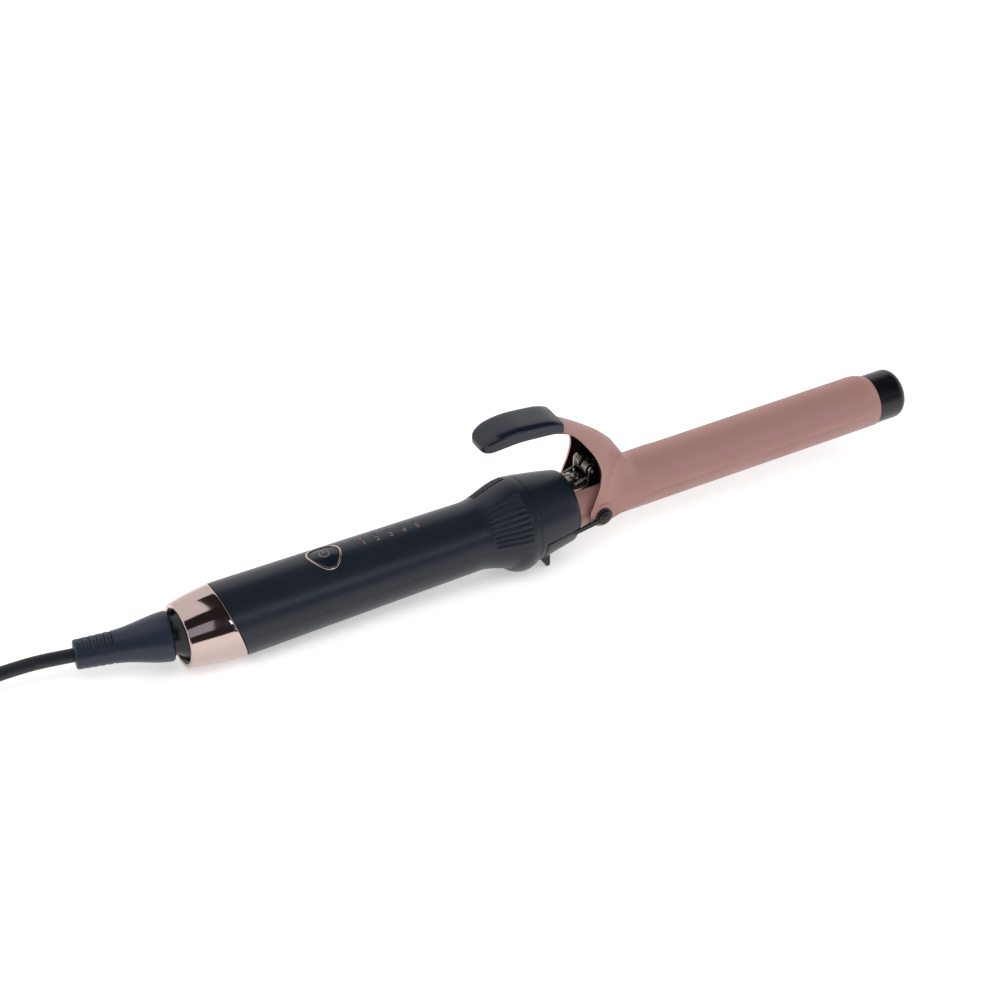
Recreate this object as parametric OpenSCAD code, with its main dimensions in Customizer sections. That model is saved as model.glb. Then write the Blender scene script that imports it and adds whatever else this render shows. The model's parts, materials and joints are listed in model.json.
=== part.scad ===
// Spring-clamp curling iron with a swivel cord, lying on its foot and its rear ring.
// Millimetres. The iron is drawn along +X with its nose collar's front face at X = 0 and the
// barrel's axis on the X axis, then tipped nose-up by placed() until it rests on Z = 0.

/* [Barrel] */
// Outside diameter of the heated barrel
barrel_d = 24; // [22:0.5:25]
// Wall of the barrel tube
barrel_wall = 0.8; // [0.6:0.1:1.2]
// Barrel length in front of the nose collar
barrel_len = 164; // [150:1:190]
// Barrel length held inside the handle
barrel_root = 24; // [22:0.5:25]
// Length of the cool tip cap beyond the barrel
cap_len = 15.8; // [12:0.2:20]
// Rounding of the tip cap's nose
cap_round = 4.5; // [2:0.5:6]
// Length of the cap's plug inside the barrel
cap_plug = 8; // [5:0.5:10]

/* [Heater] */
// Start of the aluminium heat spreaders, in front of the collar
heater_x = 9.5; // [9:0.5:12]
// Distance of the heat spreaders' end behind the barrel's end
heater_short = 16.5; // [15:0.5:30]
// Thickness of the ceramic heating strip
ptc_t = 3; // [2:0.2:4]
// Width of the ceramic heating strip
ptc_w = 12; // [8:0.5:14]
// Distance of the heating strip's ends inside the heat spreaders' ends
ptc_inset = 14; // [8:1:24]

/* [Handle] */
// Diameter of the handle at the ring seam
handle_rear_d = 33.8; // [33:0.2:36]
// Diameter of the handle's waist
handle_waist_d = 30.9; // [30:0.1:33]
// Diameter of the flare in front of the waist
flare_d = 40.6; // [39:0.2:42]
// Distance of the waist behind the collar's front face
waist_x = 48; // [46:0.5:52]
// Distance of the flare's crest behind the collar's front face
flare_x = 25.5; // [25:0.5:27]
// Distance of the ring seam behind the collar's front face, on the axis
seam_x = 162; // [160:0.5:170]
// Lean of the ring seam, forward at the bottom, in degrees
seam_lean = 15; // [0:0.1:20]
// Wall of the handle shells
handle_wall = 2.2; // [1.8:0.1:2.6]
// Gap between the two handle shells
shell_gap = 0.1; // [0.05:0.05:0.2]

/* [Finger guard and ribs] */
// Diameter of the finger guard
guard_d = 40; // [39:0.2:41]
// Thickness of the finger guard's round section
guard_t = 19; // [17:0.5:20]
// How far the guard hangs below the axis
guard_drop = 2.6; // [2:0.1:2.8]
// Distance of the guard's crest behind the collar's front face
guard_x = 27; // [26:0.5:29]
// Grip grooves on each side of the flare
groove_count = 9; // [5:1:10]
// Angle from one groove to the next
groove_pitch = 7.6; // [6:0.1:7.6]
// Radius of a groove
groove_r = 0.75; // [0.4:0.05:0.9]

/* [Nose collar] */
// Length of the nose collar
collar_len = 22.3; // [21.8:0.1:22.8]
// Diameter of the collar where it meets the shells
collar_rear_d = 40; // [39.6:0.1:40.4]
// Diameter of the collar's front face
collar_front_d = 31.6; // [31.2:0.2:32.4]
// Length of the collar's spigot inside the shells
collar_spigot = 6.5; // [4:0.5:7]

/* [Rear ring and cord swivel] */
// Length of the rear ring behind the seam, on the axis
ring_len = 22.5; // [21:0.1:26]
// Diameter of the ring's rear rim
ring_rear_d = 26.8; // [26.6:0.2:29]
// Diameter of the mouth the relief comes out of
mouth_d = 22.6; // [22.4:0.1:22.8]
// Diameter of the swivel ball
ball_d = 23; // [22.6:0.1:23.4]
// Depth of the ball's centre inside the ring
ball_depth = 7.6; // [7.4:0.1:8]
// Sideways lean of the strain relief, in degrees
relief_yaw = 11.5; // [0:0.5:13]
// Length of the strain relief from the ball's centre
relief_len = 50; // [48:1:60]
// Diameter of the strain relief's shoulder
relief_shoulder_d = 19.6; // [19:0.2:20.4]
// Diameter of the strain relief at the start of its ladder
relief_mid_d = 12.8; // [12:0.2:13.4]
// Diameter of the strain relief's end
relief_end_d = 11.8; // [10.8:0.2:12]
// Steps in the strain relief's ladder
ladder_count = 5; // [2:1:5]
// Distance from one ladder slot to the next
ladder_pitch = 3; // [2.8:0.1:3.2]
// Width of a ladder slot
ladder_slot = 1.4; // [1:0.1:1.8]

/* [Clamp] */
// Thickness of the clamp's sheet
sheet = 1; // [0.8:0.1:1.1]
// Clearance between the barrel and the clamp's blade
blade_gap = 0.3; // [0.3:0.05:0.5]
// Distance of the blade's end behind the tip cap
blade_short = 2.4; // [0.5:0.1:6]
// Height of the blade's edges above the barrel's axis
blade_edge = 1.2; // [0.5:0.1:4]
// Distance of the clamp's pivot in front of the collar
pivot_x = 11.6; // [11:0.1:13]
// Height of the clamp's pivot, below the axis when negative
pivot_z = -1; // [-2:0.1:0]
// Diameter of the pivot pins
pin_d = 4; // [3:0.1:4.5]
// Running clearance of each hole round its pin
pin_play = 0.05; // [0.02:0.01:0.09]
// Radius of the clamp's ears
ear_r = 5.6; // [5:0.1:6]

/* [Thumb grip] */
// Width of the thumb grip
grip_w = 16.6; // [15:0.2:18]
// Thickness of the thumb grip
grip_t = 7.5; // [7:0.1:8]

/* [Spring] */
// Diameter of the spring wire
wire_d = 1.1; // [0.8:0.05:1.1]
// Mean radius of the spring's coils
coil_r = 2.9; // [2.5:0.1:3]
// Full turns in each coil
coil_turns = 3; // [2:1:3]
// Distance of the spring pin in front of the collar
spring_x = 11; // [10:0.1:12]
// Height of the spring pin above the barrel's surface
spring_h = 6; // [5.6:0.1:6.4]
// Diameter of the spring pin
spring_pin_d = 2.4; // [2:0.1:3]

/* [Stand] */
// Thickness of the stand's sheet
stand_t = 0.9; // [0.7:0.1:1]
// Length of the curved plate under the collar
plate_len = 17; // [13:0.5:18]
// Distance of the plate's front edge behind the collar's front face
plate_x = 2; // [1.5:0.1:3]
// Distance of the foot behind the plate's front edge
foot_back = 11.5; // [9:0.5:12]
// Depth of the foot's edge below the barrel's axis
foot_drop = 23.5; // [23.2:0.1:24.5]
// Width of the foot
foot_w = 20; // [14:0.5:22]
// Outside radius of the stand's eyes
eye_r = 3.9; // [3.5:0.1:4.2]

/* [Button and lights] */
// Distance of the button behind the collar's front face
button_x = 116.5; // [114:0.5:119]
// Width of the shield-shaped bezel
bezel_w = 17; // [14:0.5:18]
// Width of the bezel's rim
bezel_rim = 1.3; // [1:0.1:1.6]
// Gap round the button
button_gap = 0.2; // [0.15:0.05:0.3]
// Travel of the button
button_travel = 0.8; // [0.4:0.1:0.9]
// Distance of the first light behind the collar's front face
light_x = 98; // [97:0.5:100]
// Distance from one light to the next
light_pitch = 6.3; // [5:0.1:6.5]
// Number of temperature lights
light_count = 5; // [3:1:5]
// Diameter of a light window
light_d = 1.8; // [1.2:0.1:2]

/* [Control board] */
// Length of the board
board_len = 64; // [62:1:66]
// Distance of the board's front edge in front of the button
board_ahead = 52; // [50:0.5:54]
// Width of the board
board_w = 22; // [20:0.5:23]
// Thickness of the board
board_t = 1.6; // [1:0.2:2]
// Height of the board above the axis
board_z = 5; // [4.6:0.1:5.4]

/* [Cord] */
// Diameter of the power cord
cord_d = 6; // [5:0.5:7]
// Distance between the folds of the wound hank
hank_run = 120; // [100:1:120]
// Width of the tie round the hank
tie_w = 12; // [8:1:14]

/* [Hidden] */
$fn = 96;

charcoal = "#2b313d";
black = "#15161a";
rose = "#b4857d";
champagne = "#d9bfb0";
steel = "#b9bcc0";

fit = 0.05;
clear = 0.3;
relief_edge = 0.6;
barrel_r = barrel_d / 2;
bore_r = barrel_r - barrel_wall;
cap_r = barrel_r - 0.4;
big = 400;

// ---- placing ----

// Where the rear ring touches the floor, and the tilt that brings the foot down too.
rest_x = -seam_x + handle_rear_d / 2 * tan(seam_lean);
rest_r = handle_rear_d / 2;
foot_x = -plate_x - foot_back;
tilt = atan((foot_drop - rest_r) / (foot_x - rest_x));
lift = rest_r * cos(tilt) - rest_x * sin(tilt);
tip_x = barrel_len + cap_len;
ball_x = -seam_x - ring_len + ball_depth;
// Direction of the strain relief once tipped, and the reach of both ends.
cord_out = [-cos(relief_yaw) * cos(tilt), sin(relief_yaw), -cos(relief_yaw) * sin(tilt)];
front_end = (tip_x - cap_round) * cos(tilt) + (cap_r - cap_round) * sin(tilt) + cap_round;
back_end = ball_x * cos(tilt) + relief_len * cord_out.x
    - (relief_end_d / 2 - relief_edge) * sqrt(1 - cord_out.x * cord_out.x);
mid_x = (front_end + back_end) / 2;

module placed() {
    translate([-mid_x, 0, lift]) rotate([0, -tilt, 0]) children();
}

// ---- shared shapes ----

// A solid of revolution about X, from points given as [radius, x].
module spun(points) {
    rotate([0, 90, 0]) rotate_extrude() polygon(points);
}

// A round rod along X.
module rod_x(x0, x1, r) {
    translate([x0, 0, 0]) rotate([0, 90, 0]) cylinder(h = x1 - x0, r = r);
}

// A round rod along Y, centred on y = 0 unless y0 is given.
module rod_y(x, z, y0, y1, r) {
    translate([x, y0, z]) rotate([-90, 0, 0]) cylinder(h = y1 - y0, r = r);
}

// A round rod from point p to point q.
module rod(p, q, d) {
    v = q - p;
    translate(p)
        rotate([0, acos(v.z / norm(v)), atan2(v.y, v.x)])
        cylinder(h = norm(v), d = d, $fn = 24);
}

// The same shape on the near side and the far side.
module both_sides() {
    children();
    mirror([0, 1, 0]) children();
}

function unit(v) = v / norm(v);
function smooth(t) = t * t * (3 - 2 * t);

// A tube swept along points; ups holds one vector across the path for each point.
module swept(path, ups, d, sides) {
    n = len(path);
    along = [for (i = [0:n - 1]) unit(path[min(i + 1, n - 1)] - path[max(i - 1, 0)])];
    rings = [for (i = [0:n - 1])
        let (a = unit(cross(along[i], ups[i])), b = cross(a, along[i]))
        for (k = [0:sides - 1])
            path[i] + d / 2 * (cos(360 * k / sides) * a + sin(360 * k / sides) * b)];
    walls = [for (i = [0:n - 2]) for (k = [0:sides - 1])
        let (m = (k + 1) % sides)
        for (f = [[i * sides + k, i * sides + m, (i + 1) * sides + m],
                  [i * sides + k, (i + 1) * sides + m, (i + 1) * sides + k]]) f];
    caps = [[for (k = [sides - 1:-1:0]) k], [for (k = [0:sides - 1]) (n - 1) * sides + k]];
    polyhedron(rings, concat(walls, caps), convexity = 8);
}

// An insulated lead along a few points.
module lead(path) {
    swept(path, [for (p = path) [0, 0, 1]], 1.5, 8);
}

// ---- barrel and heater ----

screw_x = 6;

module barrel_tube() placed() color(rose) difference() {
    rod_x(-barrel_root, barrel_len, barrel_r);
    rod_x(-barrel_root - 1, barrel_len + 1, bore_r);
    translate([screw_x, 0, 0]) cylinder(h = barrel_d, r = 1.25);
}

module tip_cap() placed() color(black) spun(concat(
    [[0, barrel_len - cap_plug], [bore_r - fit, barrel_len - cap_plug],
     [bore_r - fit, barrel_len + fit], [cap_r, barrel_len + fit]],
    [for (a = [0:9:90])
        [cap_r - cap_round * (1 - cos(a)), tip_x - cap_round * (1 - sin(a))]],
    [[0, tip_x]]
));

spreader_r = bore_r - 0.15;
heater_len = barrel_len - heater_short - heater_x;

module heat_spreader() color(steel) intersection() {
    rod_x(heater_x, heater_x + heater_len, spreader_r);
    translate([0, -barrel_d, ptc_t / 2 + 0.15]) cube([big, 2 * barrel_d, barrel_d]);
}

module heat_spreader_upper() placed() heat_spreader();

module heat_spreader_lower() placed() mirror([0, 0, 1]) heat_spreader();

ptc_x = heater_x + ptc_inset;
ptc_len = heater_len - 2 * ptc_inset;

module ptc_heater() placed() color("#d8d2c4")
    translate([ptc_x, -ptc_w / 2, -ptc_t / 2]) cube([ptc_len, ptc_w, ptc_t]);

module thermal_fuse() placed() color("#c9b48a")
    translate([0, 0, bore_r / 2]) rod_x(heater_x - 13, heater_x - 0.15, 2.1);

disc_t = 3;
disc_x = -collar_len - collar_spigot - fit - disc_t;

module insulator_disc() placed() color("#e6dfcf") difference() {
    rod_x(disc_x, disc_x + disc_t, handle_r(disc_x) - handle_wall - 0.6);
    translate([disc_x - 1, -6, -3]) cube([disc_t + 2, 12, 9]);
}

lead_y = 4.6;
board_front = -button_x + board_ahead;

module heater_leads() placed() color("#a33a32") both_sides() lead([
    [board_front + 0.2, lead_y, board_z + board_t / 2], [-30, lead_y, 3],
    [-6, lead_y, 0], [ptc_x - 0.15, lead_y, 0]
]);

// ---- pivots, bracket and spring ----

cheek_in = barrel_r + fit;
cheek_out = cheek_in + 0.8;
ear_in = barrel_r + 1.5;
ear_out = ear_in + 1.2;
eye_in = ear_out + clear;
eye_out = eye_in + 1;
head_in = eye_out + clear;
pin_r = pin_d / 2;
hole_r = pin_r + pin_play;

module pivot_bracket() placed() color(steel) difference() {
    union() {
        difference() {
            rod_x(pivot_x - 4.5, pivot_x + 4.5, cheek_out);
            translate([-big / 2, -barrel_d, 0]) cube([big, 2 * barrel_d, barrel_d]);
        }
        both_sides() translate([pivot_x - 3, cheek_in, 0])
            cube([6, cheek_out - cheek_in, 2.4]);
    }
    rod_x(-1, pivot_x + 7, cheek_in);
    rod_y(pivot_x, pivot_z, -barrel_d, barrel_d, pin_r + 0.03);
}

module pivot_pins() placed() color(steel) both_sides() {
    rod_y(pivot_x, pivot_z, cheek_in + fit, head_in + 0.1, pin_r);
    translate([pivot_x, head_in, pivot_z]) rotate([-90, 0, 0])
        rotate_extrude() polygon([[0, 0], [3.2, 0], [3.2, 0.4], [2.6, 0.9], [0, 1.1]]);
}

strip_r = barrel_r + 1;
lug_in = 5.6;
lug_out = 6.6;
spring_z = barrel_r + spring_h;

module spring_bracket() placed() color(steel) difference() {
    union() {
        intersection() {
            rod_x(0.3, 16, strip_r);
            translate([0, -lug_out, 0]) cube([16, 2 * lug_out, strip_r + 1]);
        }
        both_sides() {
            translate([spring_x - 2.5, lug_in, barrel_r - 1])
                cube([5, lug_out - lug_in, spring_h + 1]);
            rod_y(spring_x, spring_z, lug_in, lug_out, 2.5);
        }
    }
    rod_x(-1, 20, barrel_r + 0.02);
    rod_y(spring_x, spring_z, -10, 10, spring_pin_d / 2 + pin_play);
    translate([screw_x, 0, 0]) cylinder(h = barrel_d, r = 1.25);
}

module bracket_screw() placed() color(steel) translate([screw_x, 0, 0]) {
    translate([0, 0, bore_r]) cylinder(h = strip_r + 0.2 - bore_r, r = 1.2);
    translate([0, 0, strip_r + 0.05]) rotate_extrude()
        polygon([[0, 0], [2.2, 0], [2.2, 0.5], [1.5, 1.2], [0, 1.4]]);
}

module spring_pin() placed() color(steel)
    rod_y(spring_x, spring_z, -lug_out - 0.6, lug_out + 0.6, spring_pin_d / 2);

// One leg lies on the strip, the coil wraps the pin, and the other leg lifts the clamp.
coil_y0 = lug_in - 0.15 - wire_d / 2;
coil_steps = 14;
coil_end = coil_turns * 360 - 60;
coil_pitch = wire_d + 0.1;
loop_y = coil_y0 - coil_pitch * coil_end / 360 - coil_pitch / 4;
lift_leg = 11.4;
leg_dir = [cos(30), 0, sin(30)];

function coil_point(a) = [
    spring_x + coil_r * cos(a),
    coil_y0 - coil_pitch * (a + 90) / 360,
    spring_z + coil_r * sin(a)
];
half_spring = concat(
    [[2.5, coil_y0, strip_r - 0.2], [6.5, coil_y0, strip_r + 1.2]],
    [for (i = [0:coil_steps * coil_turns]) coil_point(-90 + i * (coil_end + 90) / coil_steps / coil_turns)],
    [coil_point(coil_end) + 7 * leg_dir]
);
half_ups = [for (i = [0:len(half_spring) - 1]) [0, 1, 0]];
loop_mid = coil_point(coil_end) + lift_leg * leg_dir;
loop_points = [for (a = [0:30:180])
    [loop_mid.x, 0, loop_mid.z] + loop_y * (sin(a) * leg_dir + [0, cos(a), 0])];
loop_ups = [for (a = [0:30:180]) sin(a) * leg_dir + [0, cos(a), 0]];

function flipped(points) = [for (i = [len(points) - 1:-1:0])
    [points[i].x, -points[i].y, points[i].z]];

module clamp_spring() placed() color(steel) swept(
    concat(half_spring, loop_points, flipped(half_spring)),
    concat(half_ups, loop_ups, [for (u = half_ups) -u]),
    wire_d, 6
);

// ---- handle ----

// Outside radius of the handle behind its front end.
function handle_r(x) =
    x < -waist_x
        ? handle_waist_d / 2
            + (handle_rear_d - handle_waist_d) / 2 * (-x - waist_x) / (seam_x - waist_x)
        : x < -flare_x
            ? handle_waist_d / 2
                + (flare_d - handle_waist_d) / 2 * smooth((x + waist_x) / (waist_x - flare_x))
            : flare_d / 2
                - (flare_d - collar_rear_d) / 2 * smooth((x + flare_x) / (flare_x - collar_len));

shell_stations = concat(
    [-seam_x - 12, -waist_x],
    [for (i = [1:10]) -waist_x + i * (waist_x - flare_x) / 10],
    [for (i = [1:4]) -flare_x + i * (flare_x - collar_len) / 4]
);

// The handle's form, grown by a margin.
module handle_form(margin) {
    spun(concat(
        [[0, -seam_x - 12]],
        [for (x = shell_stations) [handle_r(x) + margin, x]],
        [[0, -collar_len]]
    ));
}

// The space in front of the ring's leaning seam, moved forward by a gap.
module ahead_of_seam(gap) {
    translate([-seam_x + gap, 0, 0]) rotate([0, -seam_lean, 0])
        translate([0, -big / 2, -big / 2]) cube(big);
}

module shell_body() {
    difference() {
        intersection() {
            union() {
                handle_form(0);
                intersection() {
                    translate([-guard_x, 0, -guard_drop]) rotate([0, 90, 0]) rotate_extrude()
                        translate([(guard_d - guard_t) / 2, 0]) circle(d = guard_t);
                    translate([-big - collar_len, -big / 2, -big]) cube(big);
                }
            }
            ahead_of_seam(0.1);
        }
        intersection() {
            handle_form(-handle_wall);
            translate([-big - collar_len + 1, -big / 2, -big / 2]) cube(big);
        }
        rod_x(-collar_len - 1, 1, collar_rear_d / 2 - handle_wall);
    }
}

groove_x = flare_x + 1.5;
groove_len = waist_x - 6 - groove_x;
groove_slope = atan((handle_r(-groove_x) - handle_r(-groove_x - groove_len)) / groove_len);

module grooves() both_sides() for (i = [0:groove_count - 1])
    rotate([19 + i * groove_pitch, 0, 0])
        translate([-groove_x - groove_len, 0, handle_r(-groove_x - groove_len)])
        rotate([0, 90 - groove_slope, 0])
        cylinder(h = groove_len / cos(groove_slope), r = groove_r, $fn = 24);

// Outline of the button and its bezel: three arcs with rounded-off corners, point to the side.
module shield(w) {
    intersection_for (a = [-90, 30, 150])
        translate(w / sqrt(3) * [cos(a), sin(a)]) circle(r = w);
}

module shield_prism(w) {
    translate([-button_x, 0, 0]) intersection() {
        linear_extrude(height = handle_rear_d) shield(w);
        cylinder(h = handle_rear_d, r = w * 0.495);
    }
}

function light_at(i) = -light_x + i * light_pitch;
shell_screw_x = [-seam_x + 19, -waist_x - 9];
boss_r = 3.2;

module handle_upper_shell() placed() color(charcoal) difference() {
    union() {
        intersection() {
            difference() {
                shell_body();
                grooves();
            }
            translate([-big / 2, -big / 2, shell_gap / 2]) cube(big);
        }
        intersection() {
            handle_form(-handle_wall / 2);
            for (x = shell_screw_x)
                translate([x, 0, shell_gap / 2]) cylinder(h = handle_rear_d, r = boss_r);
        }
    }
    shield_prism(bezel_w + 2 * fit);
    for (i = [0:light_count - 1])
        translate([light_at(i), 0, 0]) cylinder(h = handle_rear_d, d = light_d + 2 * fit);
    for (x = shell_screw_x)
        translate([x, 0, 0]) cylinder(h = 10, r = 1.3);
}

post_at = [for (x = [-button_x - 6, board_front - 5]) for (y = [-8, 8]) [x, y]];

module handle_lower_shell() placed() color(charcoal) difference() {
    union() {
        intersection() {
            shell_body();
            translate([-big / 2, -big / 2, -big - shell_gap / 2]) cube(big);
        }
        intersection() {
            handle_form(-handle_wall / 2);
            union() {
                for (x = shell_screw_x)
                    translate([x, 0, -handle_rear_d]) cylinder(h = handle_rear_d - shell_gap / 2, r = boss_r);
                for (p = post_at)
                    translate([p.x, p.y, -handle_rear_d / 2])
                        cylinder(h = handle_rear_d / 2 + board_z - fit, r = 2.2);
            }
        }
    }
    for (x = shell_screw_x) {
        translate([x, 0, -20]) cylinder(h = 21, r = 1.4);
        translate([x, 0, -25]) cylinder(h = 15, r = 2.5);
    }
    for (p = post_at)
        translate([p.x, p.y, -4]) cylinder(h = 12, r = 1.05);
}

module shell_screws() placed() color(steel) for (x = shell_screw_x)
    translate([x, 0, -12]) {
        translate([0, 0, 1.8]) cylinder(h = 18, r = 1.2);
        cylinder(h = 2 - fit, r = 2.3);
    }

// ---- nose collar ----

function collar_r(x) = collar_front_d / 2
    + (collar_rear_d - collar_front_d) / 2 * pow(max(-x, 0) / collar_len, 0.8);

// Radius of the stand plate's outside, a little proud of the collar.
function plate_r(x) = collar_r(x) + 0.15;
plate_back = -plate_x - plate_len;
arm_z = -3.7;
plate_top = arm_z + 0.8;

module plate_cone(x0, x1, margin) {
    k = (plate_r(-plate_x) - plate_r(plate_back)) / plate_len;
    spun([[0, x0], [plate_r(plate_back) + k * (x0 - plate_back) + margin, x0],
          [plate_r(plate_back) + k * (x1 - plate_back) + margin, x1], [0, x1]]);
}

module nose_collar() placed() color(charcoal) difference() {
    union() {
        spun(concat(
            [[0, -collar_len + fit]],
            [for (i = [0:8]) let (x = -collar_len + fit + i * (collar_len - fit - 0.5) / 8)
                [collar_r(x), x]],
            [[collar_r(0) - 0.4, 0], [0, 0]]
        ));
        rod_x(-collar_len - collar_spigot, 1 - collar_len,
              collar_rear_d / 2 - handle_wall - 0.15);
    }
    rod_x(-collar_len - collar_spigot - 1, 1, barrel_r + fit);
    difference() {
        translate([plate_back - clear, -collar_rear_d / 2, plate_top + 2 * clear - collar_rear_d])
            cube([plate_len + plate_x + 1, collar_rear_d, collar_rear_d]);
        plate_cone(plate_back - 1, 1, -stand_t - clear);
    }
}

// ---- rear ring, swivel and strain relief ----

ring_back = -seam_x - ring_len;
ring_bore = ball_d / 2 + 0.7;
lip_out = 1.3;
lip_in = 2.2;

module rear_ring() placed() color(champagne) difference() {
    union() {
        hull() {
            translate([ring_back, 0, 0]) rotate([0, 90, 0]) {
                cylinder(h = 0.1, d = ring_rear_d - 1.6, $fn = 64);
                translate([0, 0, 0.9]) cylinder(h = 0.1, d = ring_rear_d, $fn = 64);
            }
            intersection() {
                translate([-seam_x - 12, 0, 0]) rotate([0, 90, 0])
                    cylinder(h = 24, r1 = handle_r(-seam_x - 12), r2 = handle_r(-seam_x + 12), $fn = 64);
                difference() {
                    ahead_of_seam(-0.2);
                    ahead_of_seam(0);
                }
            }
        }
        rod_x(-seam_x - 6, -seam_x + 8, handle_rear_d / 2 - handle_wall - 0.2);
    }
    rod_x(ring_back - 1, 0, ring_bore);
}

// Black ring pressed into the rear ring's bore; its lip keeps the ball in.
module ball_retainer() placed() color(black) difference() {
    spun([[0, ring_back - lip_out], [ring_bore - 0.45, ring_back - lip_out],
          [ring_bore - fit, ring_back - lip_out + 0.4], [ring_bore - fit, ring_back + lip_in],
          [0, ring_back + lip_in]]);
    spun([[0, ring_back - lip_out - 1], [mouth_d / 2, ring_back - lip_out - 1],
          [mouth_d / 2, ring_back - lip_out], [mouth_d / 2 - 0.8, ring_back + lip_in],
          [mouth_d / 2 - 0.8, ring_back + lip_in + 1], [0, ring_back + lip_in + 1]]);
}

module relief_frame() {
    translate([ball_x, 0, 0]) rotate([0, 0, 180 - relief_yaw]) children();
}

neck_r = 8.6;
neck_a = acos(neck_r / (ball_d / 2));
shoulder_s = ball_depth + 4.2;
ladder_s = 34;
waist_s = 36;

module strain_relief() placed() color(black) relief_frame() difference() {
    spun(concat(
        [[0, -8]],
        [for (i = [0:8]) let (a = -asin(8 / (ball_d / 2)) + i * (neck_a + asin(8 / (ball_d / 2))) / 8)
            [ball_d / 2 * cos(a), ball_d / 2 * sin(a)]],
        [[neck_r, shoulder_s - 0.8], [relief_shoulder_d / 2 - 0.4, shoulder_s - 0.4]],
        [for (i = [0:8]) let (t = i / 8)
            [relief_mid_d / 2 + (relief_shoulder_d - relief_mid_d) / 2 * (1 - smooth(t)),
             shoulder_s + t * (waist_s - shoulder_s)]],
        [[relief_end_d / 2, relief_len - relief_edge], [relief_end_d / 2 - relief_edge, relief_len],
         [0, relief_len]]
    ));
    for (i = [0:ladder_count - 1]) for (side = [0, 1]) mirror([0, 0, side])
        translate([ladder_s + i * ladder_pitch, -15, cord_d / 2])
        cube([ladder_slot, 30, 15]);
}

cup_x = ball_x + 10.2;

module swivel_cup() placed() color("#3a3d44") difference() {
    rod_x(cup_x, cup_x + 3.5, ring_bore - 0.1);
    rod_x(cup_x - 1, cup_x + 5, 1.7);
    difference() {
        rod_x(cup_x - 1, cup_x + 5, 6.2);
        rod_x(cup_x - 2, cup_x + 6, 5);
        translate([cup_x - 2, -10, -0.8]) cube([8, 20, 1.6]);
    }
}

module slip_contacts() placed() color("#c8a35a") {
    rod_x(cup_x - 1.1, cup_x + 4.4, 1.6);
    difference() {
        rod_x(cup_x - 0.4, cup_x + 4, 6.1);
        rod_x(cup_x - 1, cup_x + 5, 5.1);
        translate([cup_x - 2, -10, -0.9]) cube([8, 20, 1.8]);
    }
}

board_back = board_front - board_len;

module supply_leads() placed() color("#3b5a8c") {
    lead([[cup_x + 4.6, 0, 0], [cup_x + 6, 0, 0], [cup_x + 16, -6, 3],
          [board_back - 0.2, -6, board_z + board_t / 2]]);
    lead([[cup_x + 4.2, 0, 5.6], [cup_x + 6, 0, 5.6], [cup_x + 16, 6, 5],
          [board_back - 0.2, 6, board_z + board_t / 2]]);
}

// ---- button, lights and board ----

module button_bezel() placed() color(champagne) difference() {
    intersection() {
        shield_prism(bezel_w);
        handle_form(0.5);
    }
    shield_prism(bezel_w - 2 * bezel_rim);
    handle_form(-handle_wall);
}

stem_z = board_z + board_t + 5.4;

module power_button() placed() color(black) {
    difference() {
        intersection() {
            shield_prism(bezel_w - 2 * bezel_rim - 2 * button_gap);
            handle_form(0.3);
        }
        handle_form(-handle_wall + 0.2);
    }
    translate([-button_x, 0, stem_z])
        cylinder(h = handle_r(-button_x) - 1 - stem_z, r = 2);
}

module light_guide() placed() color("#f2ece6") {
    intersection() {
        handle_form(0);
        for (i = [0:light_count - 1])
            translate([light_at(i), 0, board_z + board_t + 1.4])
                cylinder(h = handle_rear_d, d = light_d);
    }
    translate([light_at(0) - 2, -1.5, board_z + board_t + 2.6])
        cube([(light_count - 1) * light_pitch + 4, 3, 1.4]);
}

module control_board() placed() color("#2f6b46") difference() {
    translate([board_back, -board_w / 2, board_z]) cube([board_len, board_w, board_t]);
    for (p = post_at)
        translate([p.x, p.y, board_z - 1]) cylinder(h = board_t + 2, r = 1.1);
}

board_top = board_z + board_t;

module board_screws() placed() color(steel) for (p = post_at)
    translate([p.x, p.y, 0]) {
        translate([0, 0, -2]) cylinder(h = board_top + 2.2, r = 1);
        translate([0, 0, board_top + fit]) cylinder(h = 1.2, r = 1.9);
    }

module power_switch() placed() color(black) translate([-button_x, 0, board_top]) {
    translate([-3, -3, 0]) cube([6, 6, 3.4]);
    cylinder(h = stem_z - board_top - button_travel - 0.2, r = 1.6);
}

module board_components() placed() color("#6f7480") translate([0, 0, board_top]) {
    translate([board_front - 24, 3, 0]) cube([10, 5, 4]);
    translate([board_front - 24, -8, 0]) cube([13, 4.5, 4]);
    translate([board_back + 16, 4.2, 0]) cube([8, 4.5, 4]);
}

module light_diodes() placed() color("#d9d9c8") for (i = [0:light_count - 1])
    translate([light_at(i) - 0.8, -0.8, board_top]) cube([1.6, 1.6, 1.1]);

// ---- clamp ----

blade_in = barrel_r + blade_gap;
blade_out = blade_in + sheet;
blade_end = barrel_len - blade_short;
root_x = 44;

module blade() {
    intersection() {
        difference() {
            spun([[0, root_x], [blade_out, root_x], [blade_out, blade_end - 5],
                  [blade_out - 0.1, blade_end - 2.6], [blade_out - 0.35, blade_end - 1.1],
                  [blade_out - 0.7, blade_end], [0, blade_end]]);
            rod_x(root_x - 1, blade_end + 1, blade_in);
        }
        translate([0, barrel_d, 0]) rotate([90, 0, 0]) linear_extrude(height = 2 * barrel_d) {
            translate([root_x, blade_edge]) square([blade_end - 4 - root_x, barrel_d]);
            translate([root_x, blade_edge + 4]) square([blade_end - root_x, barrel_d]);
            translate([blade_end - 4, blade_edge + 4]) circle(r = 4);
        }
    }
}

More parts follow.
